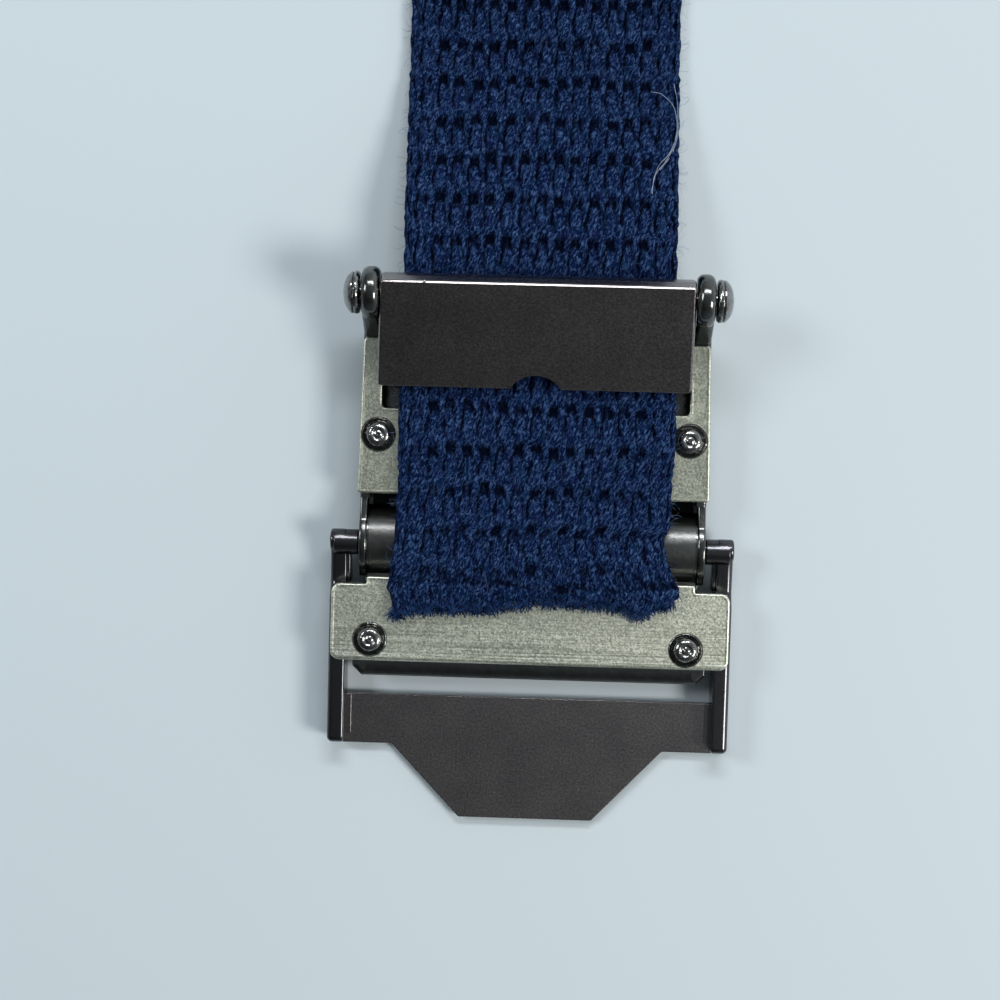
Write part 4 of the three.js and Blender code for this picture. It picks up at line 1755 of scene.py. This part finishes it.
    def _loops(self) -> tuple[np.ndarray, np.ndarray, np.ndarray]:
        """Points of every loop, their weave map and their pit depth.

        Returns:
            The three as grids, one row for each loop.
        """
        rng = np.random.default_rng(self.seed)
        shares, faces = self._columns()
        first = self.cut + np.array(self.end_rows)
        rest = np.arange(self.cut + self.end_run, self.far, self.along_step)
        y = np.concatenate([first, rest, [self.far]])
        grid_y, share = np.meshgrid(y, shares, indexing="ij")
        face = np.broadcast_to(faces, share.shape)
        left = np.interp(grid_y, *zip(*self.left_edge))
        right = np.interp(grid_y, *zip(*self.right_edge))
        x = -left + (left + right) * share
        ragged, level = np.interp(x, *zip(*self.cut_edge)), np.zeros_like(x)
        ragged = ragged + self.tufts.over(rng, x, level)
        ragged = ragged + self.threads.over(rng, x, level)
        along = grid_y + ragged * np.exp(-(grid_y - self.cut) / self.ragged_fade)
        across = share * self.width
        relief = self._relief(rng, across, along)
        near_cut = np.exp(-((grid_y - self.cut) / self.mat_reach) ** 2)
        mat = self.clumps.over(rng, across, along) - self.mat_sink
        mat = mat + self.fluff.over(rng, across, along)
        middle, run, sink = self.pressed
        relief = relief - sink * np.exp(-(((grid_y - middle) / run) ** 4))
        place, run, sink = self.furrow
        swing, swing_length = self.furrow_wave
        off = along - (place + swing * np.sin(across / swing_length))
        furrow = -sink * np.exp(-((off / run) ** 2))
        relief = relief * (1 - near_cut) + near_cut * (mat + furrow * self.furrow_gain)
        edge = np.minimum(share, 1 - share) * self.width / self.edge_round
        edge = np.clip(edge, 0, 1)
        round_edge = (1 - (1 - edge) ** self.edge_power) ** (1 / self.edge_power)
        run, blunt = self.end_round
        end = np.clip((grid_y - self.cut) / run, 0, 1)
        round_end = (1 - (1 - end) ** 2) ** 0.5 * (1 - blunt) + blunt
        half = self.thickness / 2
        swell = half * round_edge * round_end
        waves = 2 * np.pi * (along - self.row_place) / (self.row_pitch / 2)
        scallop = self.scallop * np.sin(waves)
        rough = self.rough_edge.over(rng, face, along)
        x = x + np.sign(share - 0.5) * (scallop + rough) * (1 - edge) ** 2
        held = np.clip(relief, *self.relief_range)
        offset = half + face * (swell + held * round_edge * round_end)
        sink, run = self.droop
        droop = -sink * np.exp(-(grid_y - self.cut) / run) * (face > 0)
        height, slope = self.rise(grid_y)
        tilt = np.hypot(1, slope)
        points = np.stack(
            [x, along - slope * offset / tilt, height + (offset + droop) / tilt], axis=-1
        )
        points[..., 2] = np.maximum(points[..., 2], self.lowest)
        # This depth drives the painted shade in the pits and the valleys between yarns.
        depth = np.clip(-relief / self.deepest, 0, 1)
        weave_across = across + np.where(face < 0, self.under_shift, 0.0)
        return points, np.stack([weave_across, along], axis=-1), depth

    def _end_cap(self, loop: np.ndarray) -> list[tuple[int, ...]]:
        """Triangles that close one end, from its upper points across to its lower ones.

        Args:
            loop: the point numbers of the end's loop.

        Returns:
            The corners of each triangle.
        """
        shares, faces = self._columns()
        upper = [i for i in range(len(shares)) if faces[i] > 0]
        lower = [upper[0], *[i for i in range(len(shares)) if faces[i] < 0][::-1], upper[-1]]
        cap, i, j = [], 0, 0
        while i < len(upper) - 1 or j < len(lower) - 1:
            ahead_up = shares[upper[i + 1]] if i < len(upper) - 1 else 2.0
            ahead_low = shares[lower[j + 1]] if j < len(lower) - 1 else 2.0
            if ahead_up <= ahead_low:
                corners, i = (upper[i], upper[i + 1], lower[j]), i + 1
            else:
                corners, j = (upper[i], lower[j + 1], lower[j]), j + 1
            if len(set(corners)) == 3:
                cap.append(tuple(int(loop[c]) for c in corners))
        return cap

    def build(self, frame: Frame, webbing: CottonWebbing) -> Object:
        """Weaves the strap as one closed skin and dresses it.

        Args:
            frame: the frame that it is settled into.
            webbing: its look.

        Returns:
            The strap.
        """
        points, places, depth = self._loops()
        rows, columns = depth.shape
        index = np.arange(rows * columns).reshape(rows, columns)
        ahead = np.roll(index, -1, axis=1)
        quads = np.stack([index[:-1], index[1:], ahead[1:], ahead[:-1]], axis=-1).reshape(-1, 4)
        faces = [tuple(q) for q in quads.tolist()]
        faces += self._end_cap(index[0]) + [f[::-1] for f in self._end_cap(index[-1])]
        mesh = bare_mesh("strap_woven", Shell(points.reshape(-1, 3), faces))
        weave = mesh.uv_layers.new(name=webbing.map_name)
        loops = np.zeros(len(mesh.loops), np.int64)
        mesh.loops.foreach_get("vertex_index", loops)
        weave.data.foreach_set("uv", places.reshape(-1, 2)[loops].astype(np.float32).ravel())
        pits = mesh.attributes.new(webbing.depth_name, "FLOAT", "POINT")
        pits.data.foreach_set("value", depth.astype(np.float32).ravel())
        mesh.shade_smooth()
        frame.settle(mesh)
        mesh.materials.append(webbing.material())
        piece = placed("strap_woven", mesh)
        register(piece, Body.BUCKLE, Slot.WEBBING, ["web_strap"])
        return piece


@dataclass
class Fibres:
    """Bent, tapering fibres set on given places by Geometry Nodes."""

    name: str
    length: float
    radius: float
    bow: float = 0.3
    tip: float = 0.35
    sides: int = 4
    bends: int = 5

    def build(
        self,
        frame: Frame,
        places: np.ndarray,
        aims: np.ndarray,
        sizes: np.ndarray,
        material: Material,
    ) -> Object:
        """Sets the fibres and dresses them.

        Args:
            frame: the frame that they are settled into.
            places: where each fibre starts.
            aims: each fibre's spin, fall and heading, in radians; heading zero is along X.
            sizes: each fibre's share of the full length.
            material: their finish.

        Returns:
            The fibres as one piece.
        """
        base = points_object(frame, f"{self.name}_places", places)
        aim = base.data.attributes.new("aim", "FLOAT_VECTOR", "POINT")
        aim.data.foreach_set("vector", aims.astype(np.float32).ravel())
        size = base.data.attributes.new("size", "FLOAT", "POINT")
        size.data.foreach_set("value", sizes.astype(np.float32))
        values = {
            "Length": self.length * MM,
            "Bow": self.bow,
            "Radius": self.radius * MM,
            "Tip": self.tip,
            "Sides": self.sides,
            "Bends": self.bends,
            "Material": material,
        }
        mesh = grown(base, self._tree(), values)
        bpy.data.objects.remove(base)
        mesh.name = self.name
        mesh.shade_smooth()
        piece = placed(self.name, mesh)
        register(piece, Body.BUCKLE, Slot.WEBBING)
        return piece

    @staticmethod
    def _tree() -> NodeTree:
        """The tree that sets one fibre on each point, turned by aim and scaled by size.

        Returns:
            The tree.
        """
        kinds = dict.fromkeys(("Length", "Bow", "Radius", "Tip"), "Float")
        kinds |= {"Sides": "Int", "Bends": "Int", "Material": "Material"}
        tree = new_tree("set_fibres", kinds)
        group = add_node(tree, "NodeGroupInput")
        given = group.outputs
        points = add_node(tree, "GeometryNodeMeshToPoints", {0: given["Geometry"]})
        half = maths(tree, "MULTIPLY", given["Length"], 0.5)
        rise = maths(tree, "MULTIPLY", given["Length"], given["Bow"])
        middle = add_node(tree, "ShaderNodeCombineXYZ", {"X": half, "Z": rise})
        end = add_node(tree, "ShaderNodeCombineXYZ", {"X": given["Length"]})
        inputs = {
            "Resolution": given["Bends"],
            "Start": (0.0, 0.0, 0.0),
            "Middle": middle.outputs[0],
            "End": end.outputs[0],
        }
        bent = add_node(tree, "GeometryNodeCurveQuadraticBezier", inputs)
        share = add_node(tree, "GeometryNodeSplineParameter").outputs["Factor"]
        taper = ranged(tree, share, (0.3, 1.0), (1.0, given["Tip"]))
        inputs = {"Curve": bent.outputs[0], "Radius": taper}
        shaped = add_node(tree, "GeometryNodeSetCurveRadius", inputs).outputs[0]
        fibre = tube(tree, shaped, given["Sides"], given["Radius"])
        named = "GeometryNodeInputNamedAttribute"
        aim = add_node(tree, named, {"Name": "aim"}, data_type="FLOAT_VECTOR")
        size = add_node(tree, named, {"Name": "size"}, data_type="FLOAT")
        copies = {
            "Points": points.outputs[0],
            "Instance": fibre,
            "Rotation": aim.outputs[0],
            "Scale": size.outputs[0],
        }
        fibres = add_node(tree, "GeometryNodeInstanceOnPoints", copies)
        close_tree(tree, fibres.outputs[0], group)
        return tree


@dataclass
class LooseCotton:
    """The frayed cut end, the whiskers along both edges and the nap on the face."""

    strap: WebStrap
    ends: int = 2600
    whiskers: int = 420
    nap: int = 3600
    seed: int = 3

    def build(self, frame: Frame) -> list[Object]:
        """Grows every kind of loose fibre.

        Args:
            frame: the frame that it is settled into.

        Returns:
            The pieces.
        """
        rng = np.random.default_rng(self.seed)
        frayed = CottonFibre("cotton_yarn_end", "#081838", "#294472").material()
        loose = CottonFibre("cotton_fibre_pale", "#1c3866", "#7b8fae").material()
        return [
            self._fray(frame, rng, frayed),
            self._whiskers(frame, rng, loose),
            self._nap(frame, rng, frayed),
        ]

    def _fray(self, frame: Frame, rng: np.random.Generator, material: Material) -> Object:
        """Short yarn ends that mat together past the cut.

        Args:
            frame: the frame that it is settled into.
            rng: where the random draws come from.
            material: the fibres' look.

        Returns:
            The piece.
        """
        x = rng.uniform(-19.4, 20.2, self.ends)
        back = rng.uniform(0.0, 1.0, self.ends) ** 1.4 * 1.8
        y = self.strap.cut + np.interp(x, *zip(*self.strap.cut_edge)) + back - 0.45
        z = self.strap.seat + rng.uniform(0.2, 1.2, self.ends) + 0.7 * np.clip(back, 0, 1)
        aims = np.stack(
            [
                rng.uniform(0, 2 * np.pi, self.ends),
                rng.uniform(-0.45, 0.5, self.ends),
                -np.pi / 2 + rng.uniform(-1.15, 1.15, self.ends),
            ],
            axis=1,
        )
        sizes = rng.uniform(0.35, 1.1, self.ends)
        kind = Fibres("strap_fray", 1.15, 0.055, sides=4, bends=4)
        return kind.build(frame, np.stack([x, y, z], axis=1), aims, sizes, material)

    def _whiskers(self, frame: Frame, rng: np.random.Generator, material: Material) -> Object:
        """Fine pale fibres that stand off both edges.

        Args:
            frame: the frame that it is settled into.
            rng: where the random draws come from.
            material: the fibres' look.

        Returns:
            The piece.
        """
        count = self.whiskers
        side = rng.integers(0, 2, count)
        y = rng.uniform(self.strap.cut, self.strap.far - 1.5, count)
        left = -np.interp(y, *zip(*self.strap.left_edge))
        right = np.interp(y, *zip(*self.strap.right_edge))
        height, _ = self.strap.rise(y)
        x = np.where(side, right - 0.25, left + 0.25)
        z = height + rng.uniform(0.5, 1.7, count)
        heading = np.where(side, 0.0, np.pi) + rng.uniform(-1.2, 1.2, count)
        aims = np.stack(
            [rng.uniform(0, 2 * np.pi, count), rng.uniform(-0.6, 0.4, count), heading], axis=1
        )
        sizes = rng.uniform(0.3, 1.0, count) ** 1.5
        kind = Fibres("strap_whiskers", 1.9, 0.02, bow=0.45, sides=3)
        return kind.build(frame, np.stack([x, y, z], axis=1), aims, sizes, material)

    def _nap(self, frame: Frame, rng: np.random.Generator, material: Material) -> Object:
        """Short fibres that lie on the woven face.

        Args:
            frame: the frame that it is settled into.
            rng: where the random draws come from.
            material: the fibres' look.

        Returns:
            The piece.
        """
        count = self.nap
        x = rng.uniform(-18.4, 18.4, count)
        y = rng.uniform(self.strap.cut + 1.5, self.strap.far - 1.5, count)
        height, slope = self.strap.rise(y)
        z = height + self.strap.thickness - 0.3
        heading = np.pi / 2 + rng.normal(-0.35, 0.5, count) + np.pi * rng.integers(0, 2, count)
        fall = -0.12 - rng.uniform(0.0, 0.22, count) - slope * np.sin(heading)
        aims = np.stack([rng.uniform(-0.5, 0.5, count), fall, heading], axis=1)
        sizes = rng.uniform(0.5, 1.0, count)
        kind = Fibres("strap_nap", 1.0, 0.03, bow=0.3, sides=3, bends=4)
        return kind.build(frame, np.stack([x, y, z], axis=1), aims, sizes, material)


@dataclass
class StrayHairs:
    """A few long pale hairs caught on the right edge, drawn along their paths."""

    radius: float = 0.028
    paths: tuple[tuple[Place, ...], ...] = (
        (
            (15.1, 49.3, 7.15), (16.0, 53.0, 5.99), (17.7, 55.3, 5.23), (18.6, 58.3, 4.33),
            (18.2, 61.7, 3.41), (16.5, 63.6, 3.01), (14.9, 64.0, 2.94),
        ),
        (
            (15.3, 49.2, 7.23), (15.6, 51.8, 6.42), (17.3, 54.3, 5.62), (18.5, 57.2, 4.70),
            (18.7, 61.7, 3.47), (18.1, 65.2, 2.79),
        ),
        ((16.3, 52.7, 6.06), (17.8, 54.8, 5.39), (18.6, 57.1, 4.66), (18.9, 59.7, 3.90)),
    )

    def build(self, frame: Frame) -> Object:
        """Draws the hairs and dresses them.

        Args:
            frame: the frame that it is settled into.

        Returns:
            The hairs as one piece.
        """
        material = CottonFibre("hair_pale_cotton", "#8296b4", "#c3cedd").material()
        points: list[Place] = []
        edges: list[tuple[int, int]] = []
        for path in self.paths:
            line = self._smooth(np.array(path))
            edges += [(len(points) + i, len(points) + i + 1) for i in range(len(line) - 1)]
            points += [tuple(p) for p in line]
        base = points_object(frame, "hair_paths", points, edges)
        mesh = grown(base, self._tree(), {"Radius": self.radius * MM, "Material": material})
        bpy.data.objects.remove(base)
        mesh.name = "stray_hairs"
        mesh.shade_smooth()
        piece = placed("stray_hairs", mesh)
        register(piece, Body.BUCKLE, Slot.WEBBING)
        return piece

    @staticmethod
    def _smooth(line: np.ndarray, steps: int = 6) -> np.ndarray:
        """A smooth line through the given points.

        Args:
            line: the points, one in a row.
            steps: how many points each span gets.

        Returns:
            The points of the smooth line.
        """
        ends = np.vstack([2 * line[0] - line[1], line, 2 * line[-1] - line[-2]])
        t = np.linspace(0, 1, steps, endpoint=False)[:, None]
        parts = [
            0.5
            * (
                2 * b
                + (c - a) * t
                + (2 * a - 5 * b + 4 * c - d) * t**2
                + (3 * b - a - 3 * c + d) * t**3
            )
            for a, b, c, d in zip(ends, ends[1:], ends[2:], ends[3:])
        ]
        return np.vstack([*parts, line[-1:]])

    @staticmethod
    def _tree() -> NodeTree:
        """The tree that turns lines into thin round hairs.

        Returns:
            The tree.
        """
        tree = new_tree("draw_hairs", {"Radius": "Float", "Material": "Material"})
        given = add_node(tree, "NodeGroupInput")
        curve = add_node(tree, "GeometryNodeMeshToCurve", {0: given.outputs["Geometry"]})
        hair = tube(tree, curve.outputs[0], 5, given.outputs["Radius"])
        close_tree(tree, hair, given)
        return tree


@dataclass
class Studio:
    """Pale table, soft lamps and the camera straight above."""

    focal: float = 64.0
    eye: Place = (1.873, 16.822, 254.603)
    tilt: float = -0.0415
    roll: float = 0.0272
    turn: float = 0.0284
    table: str = "#c3ced4"
    table_size: float = 2400.0
    table_gap: float = 0.1
    ambient: str = "#e4eef4"
    horizon_strength: float = 0.55
    zenith_strength: float = 0.22
    near_side_share: float = 0.34
    left_share: float = 0.45
    right_share: float = 1.6
    lamps: tuple[tuple[str, Place, Point, float, str], ...] = (
        ("lamp_right", (512.0, -189.0, 576.0), (225.0, 225.0), 3.5, "#fffdf8"),
        ("lamp_left", (-520.0, 200.0, 568.0), (220.0, 220.0), 1.7, "#f6fbff"),
        ("strip_far", (60.0, 540.0, 640.0), (500.0, 120.0), 3.1, "#fbfdff"),
    )

    def build(self, frame: Frame) -> None:
        """Sets up the table, the lamps and the camera.

        Args:
            frame: where the belt lies.
        """
        scene = bpy.context.scene
        scene.view_settings.view_transform = "Standard"
        self._camera(frame)
        self._table()
        self._world()
        for name, place, size, power, colour in self.lamps:
            self._lamp(name, place, size, power, colour)

    def _camera(self, frame: Frame) -> None:
        """Puts the camera where the photo was taken from.

        Args:
            frame: where the belt lies.
        """
        data = bpy.data.cameras.new("camera")
        data.lens, data.sensor_width, data.clip_start = self.focal, 36.0, 0.01
        camera = placed("camera", data)
        turn = (
            Matrix.Rotation(self.turn, 4, "Z")
            @ Matrix.Rotation(self.tilt, 4, "X")
            @ Matrix.Rotation(self.roll, 4, "Y")
        )
        x, y, z = self.eye
        place = Vector((x, y + frame.hinge_y, z)) * MM
        camera.matrix_world = Matrix.Translation(place) @ turn
        bpy.context.scene.camera = camera

    def _table(self) -> None:
        """A plain pale table top."""
        half = self.table_size / 2 * MM
        mesh = bpy.data.meshes.new("table")
        corners = [(-half, -half, 0), (half, -half, 0), (half, half, 0), (-half, half, 0)]
        mesh.from_pydata(corners, [], [(0, 1, 2, 3)])
        material, tree = new_material("table_pale_laminate")
        colour = linear(self.table)
        shaded(tree, {"Base Color": colour, "Roughness": 0.55, "Specular IOR Level": 0.3})
        mesh.materials.append(material)
        table = placed("table", mesh)
        table.location.z = -self.table_gap * MM

    def _world(self) -> None:
        """Pale walls under a dim ceiling, brighter on the right and in shade on the near side."""
        world = bpy.data.worlds.new("room")
        world.use_nodes = True
        tree = world.node_tree
        tree.nodes.clear()
        way = add_node(tree, "ShaderNodeTexCoord").outputs["Generated"]
        parts = add_node(tree, "ShaderNodeSeparateXYZ", {0: way})
        x, y, z = parts.outputs[:3]
        smooth = {"interpolation_type": "SMOOTHSTEP"}
        strengths = (self.horizon_strength, self.zenith_strength)
        total = ranged(tree, z, (0.3, 0.8), strengths, **smooth)
        side = ranged(tree, y, (-0.75, 0.1), (self.near_side_share, 1.0), **smooth)
        across = ranged(tree, x, (-0.5, 0.5), (self.left_share, self.right_share), **smooth)
        for share in (side, across):
            total = maths(tree, "MULTIPLY", total, share)
        back = add_node(
            tree, "ShaderNodeBackground", {"Color": linear(self.ambient), "Strength": total}
        )
        add_node(tree, "ShaderNodeOutputWorld", {"Surface": back.outputs[0]})
        bpy.context.scene.world = world

    @staticmethod
    def _lamp(name: str, place: Place, size: Point, power: float, colour: str) -> None:
        """A soft rectangular lamp that looks at the middle of the table.

        Args:
            name: the lamp's name.
            place: where it hangs.
            size: its width and height.
            power: its power in watts.
            colour: its colour, as "#rrggbb".
        """
        data = bpy.data.lights.new(name, "AREA")
        data.shape, data.size, data.size_y = "RECTANGLE", size[0] * MM, size[1] * MM
        data.energy, data.color = power, linear(colour)[:3]
        lamp = placed(name, data)
        lamp.location = Vector(place) * MM
        lamp.rotation_euler = Vector(place).to_track_quat("Z", "Y").to_euler()


@dataclass
class Belt:
    """The whole buckle end, built in order."""

    stack: Stack = field(default_factory=Stack)
    strap: WebStrap = field(default_factory=WebStrap)
    webbing: CottonWebbing = field(default_factory=lambda: CottonWebbing("cotton_webbing_navy"))

    def build(self, frame: Frame) -> None:
        """Builds every piece of the belt.

        Args:
            frame: the frame that the pieces are settled into.
        """
        nickel, cast = SATIN_NICKEL.material(), CAST_GUNMETAL.material()
        sheet, black = SHEET_GUNMETAL.material(), BLACK_NICKEL.material()
        plates = [
            UpperPlate(self.stack).build(frame, nickel),
            LowerPlate(self.stack).build(frame, BRUSHED_NICKEL.material()),
        ]
        Studs(self.stack).build(frame, black)
        body = BuckleBody(self.stack).build(frame, cast)
        ClampPin().build(frame, black)
        ClampFlap().build(frame, sheet)
        Lever().build(frame, LEVER_GUNMETAL.material())
        woven = self.strap.build(frame, self.webbing)
        loose = LooseCotton(self.strap).build(frame)
        hairs = StrayHairs().build(frame)
        self.strap.length() * MM


def main() -> None:
    """Loads the frame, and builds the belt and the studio."""
    logging.basicConfig(level=logging.INFO, format="%(name)s: %(message)s")
    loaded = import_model()
    frame = Frame.read(loaded["joints"])
    Studio().build(frame)
    Belt().build(frame)


if __name__ == "__main__":
    main()
